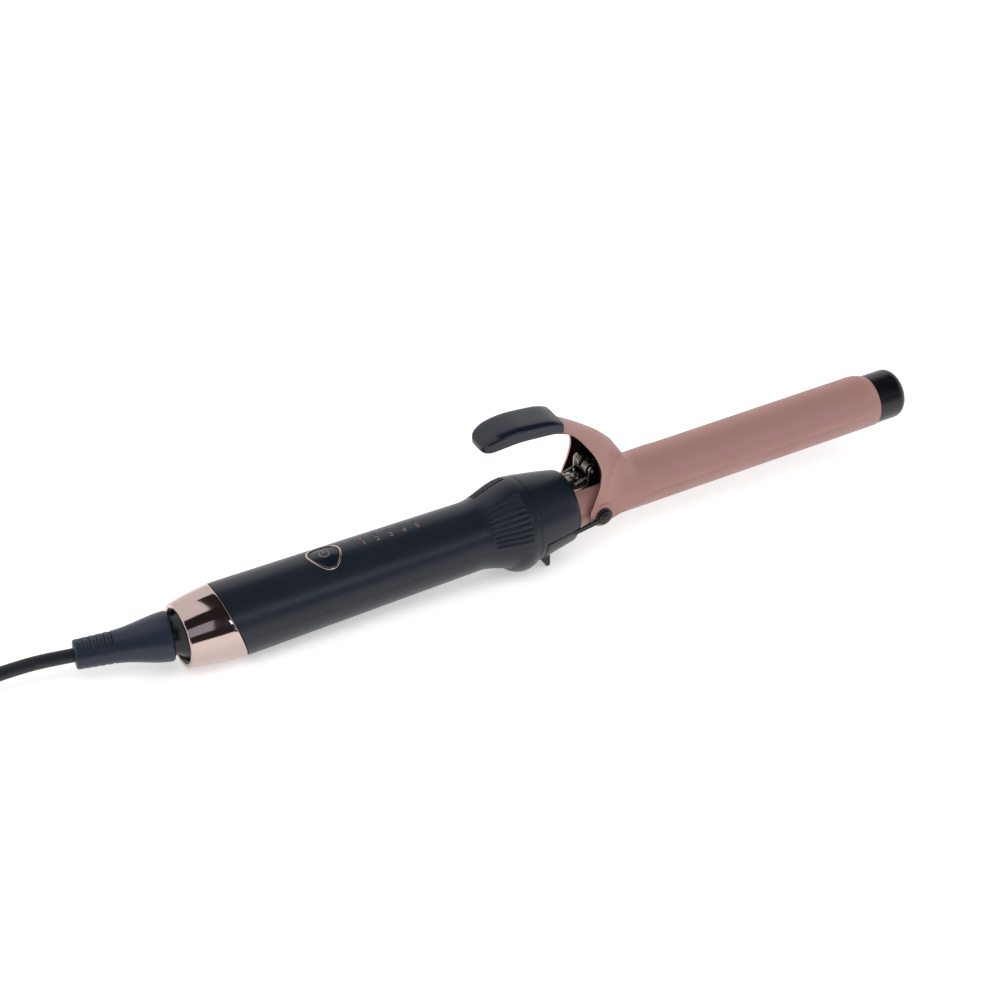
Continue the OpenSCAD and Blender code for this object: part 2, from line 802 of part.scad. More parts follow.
// Saddle and lever: rows from the blade's root to the grip, each an arch that runs from its
// crown [x, z] on the middle plane out to its edge [x, z] at the given half width.
root_r = blade_out - 0.02;
side_w = ear_out - 0.2;
saddle_rows = [
    [[47, root_r], [47, blade_edge + 0.3], root_r],
    [[40, root_r], [40, blade_edge], root_r],
    [[34.8, root_r + 0.2], [34.5, 0.6], root_r + 0.2],
    [[32, root_r + 1.3], [29, -0.6], side_w - 0.4],
    [[30, root_r + 3.6], [22.5, -2.6], side_w],
    [[28.2, root_r + 6.4], [15, -4.6], side_w],
    [[26.5, root_r + 9], [7.6, -4.4], side_w],
    [[24.9, root_r + 11.5], [5.2, 0.8], side_w],
    [[23, root_r + 14.3], [7.4, 7.5], side_w],
    [[20.2, root_r + 17.1], [9.8, 14.4], side_w - 0.2],
    [[17, root_r + 19.9], [10.8, 21.4], side_w - 0.8],
    [[13, root_r + 22.8], [8.8, 28.8], side_w - 2.4],
    [[8, root_r + 26.1], [4.6, 35.6], side_w - 4.1],
    [[2, root_r + 29.5], [0.4, 40.8], side_w - 5.6],
    [[-4, root_r + 32.1], [-4.8, 44.6], side_w - 6],
    [[-12, root_r + 34.2], [-12.4, 47], side_w - 6.6],
    [[-26, root_r + 36.2], [-26.2, 49.2], side_w - 7.4]
];
row_steps = 2;
half_cols = 8;
row_last = (len(saddle_rows) - 1) * row_steps;
col_last = 2 * half_cols;

function spline(a, b, c, d, t) = 0.5 * (2 * b + (c - a) * t
    + (2 * a - 5 * b + 4 * c - d) * t * t + (3 * b - a - 3 * c + d) * t * t * t);
function row_value(pick, i) =
    let (k = min(floor(i / row_steps), len(saddle_rows) - 2), t = i / row_steps - k,
         n = len(saddle_rows) - 1)
    spline(saddle_rows[max(k - 1, 0)][pick], saddle_rows[k][pick],
           saddle_rows[k + 1][pick], saddle_rows[min(k + 2, n)][pick], t);
saddle_grid = [for (i = [0:row_last])
    let (crown = row_value(0, i), edge = row_value(1, i), half = row_value(2, i))
    [for (j = [0:col_last])
        let (a = (j / half_cols - 1) * 90, s = 1 - cos(a))
        [crown[0] + (edge[0] - crown[0]) * s, half * sin(a), crown[1] + (edge[1] - crown[1]) * s]]];
function inward(i, j) = unit(cross(
    saddle_grid[min(i + 1, row_last)][j] - saddle_grid[max(i - 1, 0)][j],
    saddle_grid[i][min(j + 1, col_last)] - saddle_grid[i][max(j - 1, 0)]));

module saddle() {
    cols = col_last + 1;
    layer = (row_last + 1) * cols;
    points = concat(
        [for (i = [0:row_last]) for (j = [0:col_last]) saddle_grid[i][j]],
        [for (i = [0:row_last]) for (j = [0:col_last]) saddle_grid[i][j] + sheet * inward(i, j)]
    );
    function two(a, b, c, d) = [[a, b, c], [a, c, d]];
    faces = concat(
        [for (i = [0:row_last - 1]) for (j = [0:col_last - 1]) let (a = i * cols + j)
            for (f = two(a, a + cols, a + cols + 1, a + 1)) f],
        [for (i = [0:row_last - 1]) for (j = [0:col_last - 1]) let (a = layer + i * cols + j)
            for (f = two(a, a + 1, a + cols + 1, a + cols)) f],
        [for (i = [0:row_last - 1]) for (side = [0, 1]) let (a = i * cols + side * col_last)
            for (f = side == 0
                ? two(a, a + layer, a + layer + cols, a + cols)
                : two(a, a + cols, a + layer + cols, a + layer)) f],
        [for (j = [0:col_last - 1]) for (end = [0, 1]) let (a = end * row_last * cols + j)
            for (f = end == 0
                ? two(a, a + 1, a + layer + 1, a + layer)
                : two(a, a + layer, a + layer + 1, a + 1)) f]
    );
    polyhedron(points, faces, convexity = 8);
}

module clamp() placed() color(rose) difference() {
    union() {
        blade();
        difference() {
            saddle();
            rod_y(pivot_x, pivot_z, -cheek_out - 0.35, cheek_out + 0.35, 5);
        }
        both_sides() rod_y(pivot_x, pivot_z, ear_in, ear_out, ear_r);
    }
    rod_y(pivot_x, pivot_z, -barrel_d, barrel_d, hole_r);
}

// Thumb grip: sections across X as [x, mid height, share of half width, share of half height].
grip_z = barrel_r + 38.9;
grip_rows = [
    [-5.2, -4, 0.95, 0.76], [-5.8, -3.9, 1, 0.82], [-10, -2.6, 1, 0.92], [-17, -1.7, 1, 0.98],
    [-27, -0.95, 1, 1], [-35.5, -1.7, 0.98, 0.95], [-40, -2.8, 0.88, 0.82],
    [-42.4, -3.4, 0.7, 0.6], [-43.6, -3.7, 0.45, 0.33]
];
grip_sides = 24;

function grip_section(row) = [for (k = [0:grip_sides - 1])
    let (a = 360 * k / grip_sides, c = cos(a), s = sin(a), e = 0.45)
    [row[0],
     grip_w / 2 * row[2] * sign(c) * pow(abs(c), e),
     grip_z + row[1] + grip_t / 2 * row[3] * sign(s) * pow(abs(s), e)]];

module thumb_grip() placed() color(charcoal) {
    n = len(grip_rows);
    points = [for (row = grip_rows) for (p = grip_section(row)) p];
    walls = [for (i = [0:n - 2]) for (k = [0:grip_sides - 1])
        let (m = (k + 1) % grip_sides, a = i * grip_sides)
        for (f = [[a + k, a + m, a + grip_sides + m], [a + k, a + grip_sides + m, a + grip_sides + k]])
            f];
    caps = [[for (k = [grip_sides - 1:-1:0]) k],
            [for (k = [0:grip_sides - 1]) (n - 1) * grip_sides + k]];
    polyhedron(points, concat(walls, caps), convexity = 4);
}

// ---- stand ----

arm_y = plate_r(-plate_x) - 0.75;

module foot_outline() difference() {
    union() {
        translate([-foot_w / 2, 2 - foot_drop]) square([foot_w, 10]);
        translate([2 - foot_w / 2, -foot_drop]) square([foot_w - 4, 4]);
        for (side = [-1, 1]) translate([side * (foot_w / 2 - 2), 2 - foot_drop]) circle(r = 2);
    }
    circle(r = plate_r(foot_x) - stand_t / 2);
}

module stand() placed() color(black) difference() {
    union() {
        intersection() {
            difference() {
                plate_cone(plate_back, -plate_x, 0);
                plate_cone(plate_back - 1, 1, -stand_t);
            }
            translate([plate_back - 1, -collar_rear_d, plate_top - 2 * collar_rear_d])
                cube([plate_len + 2, 2 * collar_rear_d, 2 * collar_rear_d]);
        }
        translate([foot_x, 0, 0]) rotate([90, 0, 90])
            linear_extrude(height = stand_t) foot_outline();
        both_sides() {
            hull() {
                translate([-plate_x - 2, arm_y, arm_z - 1]) cube([2, 0.8, 1.8]);
                rod_y(pivot_x - 3, pivot_z - 1.6, eye_in, eye_out, 1.1, $fn = 16);
            }
            rod_y(pivot_x, pivot_z, eye_in, eye_out, eye_r);
        }
    }
    rod_y(pivot_x, pivot_z, -barrel_d, barrel_d, hole_r);
}

// ---- power cord, plug and tie, standing on the floor ----

cord_exit = [
    ball_x * cos(tilt) + relief_len * cord_out.x - mid_x,
    relief_len * cord_out.y,
    ball_x * sin(tilt) + relief_len * cord_out.z + lift
];

// The hank: two round folds joined by drawn-in runs, three layers high.
hank_x = -348;
hank_y = -3;
fold_r = 4.5 * cord_d + 1.2;
waist_half = 2 * cord_d + 0.6;
fold_x = hank_run / 2;
waist_r = (fold_x * fold_x + waist_half * waist_half - fold_r * fold_r)
    / (2 * (fold_r - waist_half));
layer = cord_d + 0.1;
hank_h = 3 * layer + 0.3;
tie_t = 0.7;
entry_y = hank_y + fold_r - cord_d / 2;

// Floor route to the hank, after the points on the strain relief's own axis.
cord_route = [
    [-218, 12.6, 13.6], [-228, 13.6, 12.6], [-238, 14.8, 11.2], [-248, 16.4, 9.2],
    [-258, 18, 7.2], [-268, 19.8, 5.3], [-278, 21.4, 3.9], [-288, entry_y, 3.2], [-296, 20.6, 3.1]
];

// Rise from the hank's top layer to the plug.
plug_x = hank_x - 8;
plug_y = hank_y + 3;
plug_z = hank_h + 7;
rise_route = [
    [hank_x + 37, plug_y + 10, 16.2], [hank_x + 28, plug_y + 6, 18.8],
    [hank_x + 18, plug_y + 3, 21.8], [hank_x + 8, plug_y + 1, 24.3],
    [plug_x + 6, plug_y, plug_z - 0.2], [plug_x, plug_y, plug_z]
];

module power_cord() color(black) {
    path = concat([cord_exit, cord_exit + 7 * cord_out], cord_route);
    swept(path, [for (p = path) [0, 0, 1]], cord_d, 12);
    swept(rise_route, [for (p = rise_route) [0, 0, 1]], cord_d, 12);
}

module hank_outline() {
    for (side = [-1, 1]) translate([side * fold_x, 0]) circle(r = fold_r);
    difference() {
        translate([-fold_x, -fold_r]) square([2 * fold_x, 2 * fold_r]);
        for (side = [-1, 1]) {
            translate([0, side * (waist_half + waist_r)]) circle(r = waist_r);
            mirror([0, side > 0 ? 0 : 1])
                translate([-fold_x, fold_r * 0.8]) square([2 * fold_x, fold_r]);
        }
    }
}

module cord_hank() color(black) translate([hank_x, hank_y, 0]) difference() {
    linear_extrude(height = hank_h) hank_outline();
    translate([-tie_w / 2 - 0.1, -fold_r, -1]) cube([tie_w + 0.2, 2 * fold_r, 1 + tie_t]);
}

module tie_outline(w, z0, z1, r) {
    translate([-w / 2, z0 + r]) square([w, z1 - z0 - 2 * r]);
    translate([-w / 2 + r, z0]) square([w - 2 * r, z1 - z0]);
    for (side = [-1, 1]) for (z = [z0 + r, z1 - r])
        translate([side * (w / 2 - r), z]) circle(r = r);
}

module cord_tie() color(black) translate([hank_x - tie_w / 2, hank_y, 0])
    rotate([90, 0, 90]) linear_extrude(height = tie_w) difference() {
        tie_outline(2 * waist_half + 2.6 + 2 * tie_t, 0, hank_h + 0.1 + tie_t, 1.8);
        tie_outline(2 * waist_half + 2.6, tie_t, hank_h + 0.1, 1.1);
    }

// Flat two-pin plug with round pins, lying on the hank.
plug_neck = 16;
plug_l = 32;
plug_half = 17.6;
plug_t = 13.7;
pin_pitch = 19;
pin_len = 19;
plug_pin_d = 4;

module at_plug() {
    translate([plug_x, plug_y, plug_z]) rotate([0, 0, 180]) children();
}

module plug_body() at_plug() color(black) difference() {
    union() {
        spun([[0, 0], [cord_d / 2 + 0.7, 0], [cord_d / 2 + 1.8, plug_neck + 1],
              [0, plug_neck + 1]]);
        translate([plug_neck, 0, -plug_t / 2]) linear_extrude(height = plug_t) {
            polygon([[0, -5.5], [0, 5.5], [plug_l - 16, plug_half - 1.6], [plug_l - 13, plug_half],
                     [plug_l - 1, plug_half], [plug_l, plug_half - 1], [plug_l, 1 - plug_half],
                     [plug_l - 1, -plug_half], [plug_l - 13, -plug_half],
                     [plug_l - 16, 1.6 - plug_half]]);
        }
    }
    for (side = [-1, 1]) translate([0, side * pin_pitch / 2, 0])
        rod_x(plug_neck + plug_l - 10, plug_neck + plug_l + 1, plug_pin_d / 2 - 0.25);
}

module plug_pins() at_plug() color(steel)
    for (side = [-1, 1]) translate([0, side * pin_pitch / 2, 0])
        rotate([0, 90, 0]) rotate_extrude() polygon([
            [0, plug_neck + plug_l - 9.9], [plug_pin_d / 2 - 0.3, plug_neck + plug_l - 9.9],
            [plug_pin_d / 2 - 0.3, plug_neck + plug_l + 0.1],
            [plug_pin_d / 2, plug_neck + plug_l + 0.1],
            [plug_pin_d / 2, plug_neck + plug_l + pin_len - 1.2],
            [plug_pin_d / 2 - 0.5, plug_neck + plug_l + pin_len - 0.3],
            [plug_pin_d / 2 - 1.1, plug_neck + plug_l + pin_len],
            [0, plug_neck + plug_l + pin_len]
        ]);

barrel_tube();
tip_cap();
heat_spreader_upper();
heat_spreader_lower();
ptc_heater();
thermal_fuse();
insulator_disc();
heater_leads();
pivot_bracket();
pivot_pins();
spring_bracket();
bracket_screw();
spring_pin();
clamp_spring();
handle_upper_shell();
handle_lower_shell();
shell_screws();
nose_collar();
rear_ring();
ball_retainer();
button_bezel();
light_guide();
control_board();
board_screws();
power_switch();
board_components();
light_diodes();
swivel_cup();
slip_contacts();
supply_leads();
clamp();
thumb_grip();
stand();
power_button();
strain_relief();
power_cord();
cord_hank();
cord_tie();
plug_body();
plug_pins();
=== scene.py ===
# Spring-clamp curling iron with a swivel cord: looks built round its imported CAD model.
# Sizes are millimetres in the iron's own frame: X runs along the barrel from the nose
# collar's front face, Y to the far side, Z up. toWorld() tips that frame onto the floor.
import json
import math
import bpy
import bmesh
import numpy as np
from mathutils import Matrix, Vector


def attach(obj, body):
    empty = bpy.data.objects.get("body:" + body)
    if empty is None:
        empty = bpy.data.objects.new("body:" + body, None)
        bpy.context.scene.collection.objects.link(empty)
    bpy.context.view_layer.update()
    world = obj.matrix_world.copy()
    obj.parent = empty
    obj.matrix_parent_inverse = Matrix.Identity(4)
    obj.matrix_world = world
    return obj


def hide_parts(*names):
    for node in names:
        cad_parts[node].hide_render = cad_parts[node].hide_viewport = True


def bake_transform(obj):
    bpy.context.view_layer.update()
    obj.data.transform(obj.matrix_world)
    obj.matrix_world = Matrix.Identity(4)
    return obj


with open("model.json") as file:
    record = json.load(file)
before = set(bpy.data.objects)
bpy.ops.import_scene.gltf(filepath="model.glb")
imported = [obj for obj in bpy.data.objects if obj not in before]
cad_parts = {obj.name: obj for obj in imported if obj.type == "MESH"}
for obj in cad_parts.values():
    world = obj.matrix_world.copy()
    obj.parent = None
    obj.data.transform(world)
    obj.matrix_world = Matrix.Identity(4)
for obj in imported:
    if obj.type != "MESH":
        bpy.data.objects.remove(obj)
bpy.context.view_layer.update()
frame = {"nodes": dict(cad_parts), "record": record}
nodes = frame["nodes"]
scene = bpy.context.scene
print("stage: frame loaded,", len(nodes), "nodes")


def readPoints(mesh):
    flat = np.empty(len(mesh.vertices) * 3, np.float32)
    mesh.vertices.foreach_get("co", flat)
    return flat.reshape(-1, 3)


def writePoints(mesh, points):
    mesh.vertices.foreach_set("co", points.astype(np.float32).ravel())
    mesh.update()


def nodePoints(name):
    return readPoints(nodes[name].data).astype(float)


# the iron's own frame, read off the CAD nodes
tipAxis = next(m for m in frame["record"]["mounts"] if m["name"] == "barrel_tip")["axis"]
tilt = math.atan2(tipAxis[2], tipAxis[0])
turn = np.array([[math.cos(tilt), 0, math.sin(tilt)], [0, 1, 0], [-math.sin(tilt), 0, math.cos(tilt)]])
barrelZ = (nodePoints("barrel_tube") @ turn.T)[:, 2]
origin = np.array([(nodePoints("nose_collar") @ turn.T)[:, 0].max(), 0, (barrelZ.min() + barrelZ.max()) / 2])


def toWorld(points):
    return (np.asarray(points, float).reshape(-1, 3) / 1000 + origin) @ turn


def toIron(worldPoints):
    return (worldPoints @ turn.T - origin) * 1000


def inMetres(points):
    # for pieces that are built at the world's origin
    return np.asarray(points, float) / 1000


cameraView = dict(azimuth=-30.981, elevation=34.955, roll=2.565, distance=1100.7, lens=89.97,
                  aside=27.985, raised=-4.02)


def addObject(name, data):
    made = bpy.data.objects.new(name, data)
    scene.collection.objects.link(made)
    return made


def placeCamera(v):
    az, el, roll = (math.radians(v[k]) for k in ("azimuth", "elevation", "roll"))
    right = np.array([math.cos(az), math.sin(az), 0])
    back = np.array([math.sin(az) * math.cos(el), -math.cos(az) * math.cos(el), math.sin(el)])
    up = np.cross(back, right)
    right, up = (math.cos(roll) * right + math.sin(roll) * up,
                 -math.sin(roll) * right + math.cos(roll) * up)
    place = toWorld([0, 0, 0])[0] + (v["distance"] * back - v["aside"] * right - v["raised"] * up) / 1000
    data = bpy.data.cameras.new("camera")
    data.sensor_fit = "HORIZONTAL"
    data.sensor_width = 36
    data.lens = v["lens"]
    data.clip_start = 0.01
    camera = addObject("camera", data)
    camera.matrix_world = Matrix([*zip(right, up, back, place), (0, 0, 0, 1)])
    scene.camera = camera


placeCamera(cameraView)
scene.view_settings.view_transform = "Standard"
print("stage: camera")


def addNode(tree, kind, inputs=None, **settings):
    made = tree.nodes.new(kind)
    for key, value in settings.items():
        setattr(made, key, value)
    for key, value in (inputs or {}).items():
        if isinstance(value, bpy.types.NodeSocket):
            tree.links.new(value, made.inputs[key])
        else:
            made.inputs[key].default_value = value
    return made


def linear(hexColour):
    channels = [int(hexColour[i:i + 2], 16) / 255 for i in (1, 3, 5)]
    return tuple(c / 12.92 if c <= 0.04045 else ((c + 0.055) / 1.055) ** 2.4 for c in channels) + (1.0,)


def finishOf(colour, second, roughness, spread, patch, grain, depth, **more):
    # two colours that lie in patches; how rough it is and by how much that changes;
    # the size of its patches, of its grain and the grain's depth in mm
    return dict(colour=colour, second=second, roughness=roughness, spread=spread, patch=patch, grain=grain,
                depth=depth, **more)


finishData = {
    # soft-touch lacquer on moulded ABS: dull blue-black, even, soft broad highlights
    "softTouchAbs": finishOf("#141a24", "#1a212c", 0.36, 0.07, 18, 0.7, 0.004, specular=0.38),
    # the same lacquer, rubbed a little smoother where the thumb rests
    "softTouchGrip": finishOf("#0f1622", "#131b29", 0.24, 0.05, 9, 0.7, 0.002, specular=0.45),
    # rose ceramic coat with pearl pigment, sprayed and baked: satin, nearly even, soft lustre
    "rosePearlCoat": finishOf("#b08680", "#a87d77", 0.48, 0.06, 16, 0.5, 0.004, metallic=0.25, specular=0.5),
    # cut edges of the clamp: lighter where the coat thins, and painted highlight: the lighter colour also
    # stands in for the light rim along them
    "roseEdgeWearAndHighlight": finishOf("#c79d93", "#b98d83", 0.3, 0.08, 6, 0.6, 0.003, metallic=1.0),
    # painted shade: the clamp's inside gets a near-black brown that stands in for the shadow inside blade and
    # saddle
    "insidePaintedShade": finishOf("#100a09", "#0a0606", 0.42, 0.1, 7, 0.8, 0.006, specular=0.25),
    # vacuum-metallised champagne on moulded ABS: mirror bright, faint ripple of the moulding
    "champagneMetallised": finishOf("#c5b1ab", "#bda8a2", 0.09, 0.03, 10, 5.0, 0.006, metallic=1.0),
    # heat-resistant glass-filled nylon: black, slightly glossy, fine flow texture
    "glassFilledNylon": finishOf("#08090c", "#0d0e12", 0.3, 0.06, 6, 0.6, 0.006, specular=0.4),
    # bright zinc-plated spring steel
    "zincSteel": finishOf("#98948d", "#7f7a73", 0.22, 0.1, 3, 0.5, 0.004, metallic=1.0),
    # blackened, riveted pin heads
    "blackenedSteel": finishOf("#4a4039", "#35302c", 0.3, 0.1, 2, 0.4, 0.008, metallic=1.0),
    # black powder coat on pressed steel: faint orange peel
    "powderCoat": finishOf("#0b0c10", "#101116", 0.38, 0.06, 5, 0.8, 0.012, specular=0.4),
    # moulded PVC of the strain relief: blue-black, slightly waxy
    "reliefPvc": finishOf("#1a2232", "#20293a", 0.38, 0.08, 7, 0.7, 0.008, specular=0.42),
    # extruded PVC cord sheath: matte
    "cordPvc": finishOf("#10131a", "#151922", 0.5, 0.06, 12, 0.8, 0.01),
    # extruded aluminium heat spreaders, with lengthwise draw lines
    "extrudedAluminium": finishOf("#b9babb", "#a5a6a8", 0.4, 0.08, 5, 0.6, 0.01, metallic=1.0,
                                  stretch=(0.08, 1, 1)),
    # fired ceramic and mica of the heater
    "firedCeramic": finishOf("#cfc8b6", "#bdb49f", 0.7, 0.08, 2, 0.5, 0.01),
    # spring brass of the slip contacts
    "springBrass": finishOf("#c79e52", "#a97f38", 0.28, 0.1, 3, 0.4, 0.004, metallic=1.0),
    # moulded parts on the board
    "epoxyMoulding": finishOf("#2b2c30", "#3c3d42", 0.45, 0.06, 2, 0.3, 0.006),
    # milky acrylic light guide
    "milkyAcrylic": finishOf("#c9c4bd", "#bdb8b0", 0.25, 0.04, 3, 0.6, 0.002),
    # smoked acrylic of the unlit light windows: nearly black until lit
    "smokedAcrylic": finishOf("#26272b", "#1e1f23", 0.22, 0.04, 3, 0.6, 0.002),
    # rose print on the handle: digits and power mark
    "rosePrint": finishOf("#86736f", "#776565", 0.45, 0.05, 2, 0.4, 0.002),
    # light window of the set temperature, with a warm red diode behind it
    "litAcrylic": finishOf("#7d3a36", "#6a2e2b", 0.25, 0.04, 2, 0.6, 0.002),
    # woven glass sleeves on the leads
    "redGlassSleeve": finishOf("#a34b3a", "#6f2c22", 0.7, 0.1, 2, 0.5, 0.02),
    "blueGlassSleeve": finishOf("#41608f", "#27406a", 0.7, 0.1, 2, 0.5, 0.02),
    # solder mask over etched tracks
    "solderMask": finishOf("#1e5a38", "#2a7048", 0.3, 0.05, 4, 0.5, 0.004),
    # knitted hook-and-loop strap, dull black
    "loopStrap": finishOf("#0d0e12", "#17181d", 0.9, 0.08, 4, 0.6, 0.03),
}
finishes, finishTrees = {}, {}


def makeFinish(name, d):
    material = bpy.data.materials.new(name)
    material.use_nodes = True
    tree = material.node_tree
    shader = tree.nodes["Principled BSDF"]
    place = addNode(tree, "ShaderNodeTexCoord").outputs["Object"]
    patches = addNode(tree, "ShaderNodeTexNoise",
                      {"Vector": place, "Scale": 1000 / d["patch"], "Detail": 3.0, "Roughness": 0.55})
    blend = addNode(tree, "ShaderNodeMix",
                    {0: patches.outputs["Fac"], 6: linear(d["colour"]), 7: linear(d["second"])},
                    data_type="RGBA")
    tree.links.new(blend.outputs[2], shader.inputs["Base Color"])
    rubbed = addNode(tree, "ShaderNodeMapRange",
                     {"Value": patches.outputs["Fac"], "From Min": 0.3, "From Max": 0.7,
                      "To Min": d["roughness"] - d["spread"] / 2,
                      "To Max": d["roughness"] + d["spread"] / 2})
    tree.links.new(rubbed.outputs["Result"], shader.inputs["Roughness"])
    along = addNode(tree, "ShaderNodeMapping",
                    {"Vector": place, "Scale": d.get("stretch", (1, 1, 1)), "Rotation": (0, -tilt, 0)})
    grain = addNode(tree, "ShaderNodeTexNoise",
                    {"Vector": along.outputs["Vector"], "Scale": 1000 / d["grain"], "Detail": 2.0})
    bump = addNode(tree, "ShaderNodeBump",
                   {"Height": grain.outputs["Fac"], "Distance": d["depth"] / 1000, "Strength": 1.0})
    tree.links.new(bump.outputs["Normal"], shader.inputs["Normal"])
    shader.inputs["Metallic"].default_value = d.get("metallic", 0.0)
    if "specular" in d:
        shader.inputs["Specular IOR Level"].default_value = d["specular"]
    finishes[name] = material
    finishTrees[name] = tree, shader, place


def addWeave(name, ribPitch=0.8):
    # diagonal ribs, distorted, between the finish's two colours
    tree, shader, place = finishTrees[name]
    weave = addNode(tree, "ShaderNodeTexWave",
                    {"Vector": place, "Scale": 1000 / ribPitch / 20, "Distortion": 1.5},
                    bands_direction="DIAGONAL")
    mixed = addNode(tree, "ShaderNodeMix",
                    {0: weave.outputs["Fac"], 6: linear(finishData[name]["colour"]),
                     7: linear(finishData[name]["second"])}, data_type="RGBA")
    tree.links.new(mixed.outputs[2], shader.inputs["Base Color"])


def addTracks(name, pitch=1.2):
    tree, shader, place = finishTrees[name]
    tracks = addNode(tree, "ShaderNodeTexBrick",
                     {"Vector": place, "Color1": linear(finishData[name]["colour"]),
                      "Color2": linear("#26683f"), "Mortar": linear("#3c8a57"),
                      "Scale": 100 / pitch, "Mortar Size": 0.03, "Brick Width": 0.5, "Row Height": 0.1})
    tree.links.new(tracks.outputs["Color"], shader.inputs["Base Color"])


def addLoops(name, across=0.9, deep=0.3):
    tree, shader, place = finishTrees[name]
    loops = addNode(tree, "ShaderNodeTexVoronoi", {"Vector": place, "Scale": 1000 / across})
    bump = addNode(tree, "ShaderNodeBump",
                   {"Height": loops.outputs["Distance"], "Distance": deep / 1000, "Strength": 0.9},
                   invert=True)
    tree.links.new(bump.outputs["Normal"], shader.inputs["Normal"])
    shader.inputs["Sheen Weight"].default_value = 0.3


for finishName, finishValues in finishData.items():
    makeFinish(finishName, finishValues)
finishTrees["litAcrylic"][1].inputs["Emission Color"].default_value = linear("#ff5a40")
finishTrees["litAcrylic"][1].inputs["Emission Strength"].default_value = 0.12
addWeave("redGlassSleeve")
addWeave("blueGlassSleeve")
addTracks("solderMask")
addLoops("loopStrap")
print("stage: finishes,", len(finishes))


def smooth(t):
    return t * t * (3 - 2 * t)


def settle(piece, finish, body, replaced=(), crease=35):
    # slots are filled in place, so that faces keep the finish they were given
    names, held = finish if isinstance(finish, tuple) else (finish,), piece.data.materials
    for i, name in enumerate(names):
        if i < len(held):
            held[i] = finishes[name]
        else:
            held.append(finishes[name])
    while len(held) > len(names):
        held.pop(index=len(held) - 1)
    piece.data.shade_smooth()
    piece.data.set_sharp_from_angle(angle=math.radians(crease))
    if body:
        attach(piece, body)
    if replaced:
        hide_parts(*replaced)
    return piece


def faceOutward(mesh, joinFacets=False):
    work = bmesh.new()
    work.from_mesh(mesh)
    if joinFacets:
        bmesh.ops.remove_doubles(work, verts=work.verts, dist=2e-6)
        bmesh.ops.dissolve_limit(work, angle_limit=math.radians(0.4), verts=work.verts, edges=work.edges)
    bmesh.ops.recalc_face_normals(work, faces=work.faces)
    work.to_mesh(mesh)
    work.free()


def meshPiece(name, worldPoints, faces, outward=True):
    mesh = bpy.data.meshes.new(name)
    mesh.from_pydata([tuple(p) for p in worldPoints], [], faces)
    if outward:
        faceOutward(mesh)
    return addObject(name, mesh)


def finalMesh(piece):
    return bpy.data.meshes.new_from_object(piece.evaluated_get(bpy.context.evaluated_depsgraph_get()))


def bake(piece):
    made = finalMesh(piece)
    piece.modifiers.clear()
    old, piece.data = piece.data, made
    bpy.data.meshes.remove(old)
    made.name = piece.name
    return piece


def carve(piece, cutters, operation="DIFFERENCE"):
    for cutter in cutters:
        step = piece.modifiers.new("carve", "BOOLEAN")
        step.operation = operation
        step.solver = "MANIFOLD"
        step.object = cutter
    bake(piece)
    for cutter in cutters:
        bpy.data.objects.remove(cutter)
    return piece


def softenEdges(piece, width, segments=2, angle=35):
    step = piece.modifiers.new("edges", "BEVEL")
    step.width = width / 1000
    step.segments = segments
    step.limit_method = "ANGLE"
    step.angle_limit = math.radians(angle)
    step.harden_normals = False
    return bake(piece)


def moved(piece, change):
    # sends a piece that was built at the world's origin to its place
    writePoints(piece.data, change(readPoints(piece.data) * 1000))
    return piece


def circle(x, y, radius, steps):
    angles = [2 * math.pi * k / steps for k in range(steps)]
    return [(x + radius * math.cos(a), y + radius * math.sin(a)) for a in angles]


def filleted(corners, radii, steps=4, closed=True):
    # rounds the corners of a flat outline; radii has one number for each corner
    made = []
    for i, corner in enumerate(corners):
        if radii[i] <= 0 or (not closed and i in (0, len(corners) - 1)):
            made.append(tuple(corner))
            continue
        p, a, b = (np.array(q, float) for q in (corner, corners[i - 1], corners[(i + 1) % len(corners)]))
        la, lb = np.linalg.norm(a - p), np.linalg.norm(b - p)
        ua, ub = (a - p) / la, (b - p) / lb
        half = math.acos(max(-1, min(1, float(ua @ ub)))) / 2
        reach = min(radii[i] / math.tan(half), la * 0.49, lb * 0.49)
        start, end = p + ua * reach, p + ub * reach
        for k in range(steps + 1):
            t = k / steps
            made.append(tuple((1 - t) ** 2 * start + 2 * t * (1 - t) * p + t * t * end))
    return made


def roundGrid(profiles, closedRound, closedProfile=True):
    # profiles: one list of points for each angle; returns points and faces of a skin
    rows, cols = len(profiles), len(profiles[0])
    points = [p for profile in profiles for p in profile]
    faces = []
    for j in range(rows if closedRound else rows - 1):
        for i in range(cols if closedProfile else cols - 1):
            a, b = j * cols, (j + 1) % rows * cols
            k = (i + 1) % cols
            faces.append((a + i, a + k, b + k, b + i))
    return points, faces


def lathed(name, profile, steps=128, centre=(0, 0, 0), axis="x", put=toWorld):
    # profile: (along, radius) points; starts and ends on the axis, or is a closed loop
    points, rings, faces = [], [], []
    for s, r in profile:
        if r < 1e-6:
            rings.append([len(points)])
            points.append((s, 0, 0))
        else:
            rings.append(list(range(len(points), len(points) + steps)))
            points += [(s, y, z) for z, y in circle(0, 0, r, steps)]
    pairs = list(zip(rings, rings[1:]))
    if len(rings[0]) > 1 and len(rings[-1]) > 1:
        pairs.append((rings[-1], rings[0]))
    for one, two in pairs:
        for k in range(steps):
            m = (k + 1) % steps
            if len(one) == 1:
                faces.append((one[0], two[m], two[k]))
            elif len(two) == 1:
                faces.append((one[k], one[m], two[0]))
            else:
                faces.append((one[k], one[m], two[m], two[k]))
    order = {"x": [0, 1, 2], "y": [1, 0, 2], "z": [1, 2, 0]}[axis]
    return meshPiece(name, put(np.array(points)[:, order] + np.array(centre)), faces)


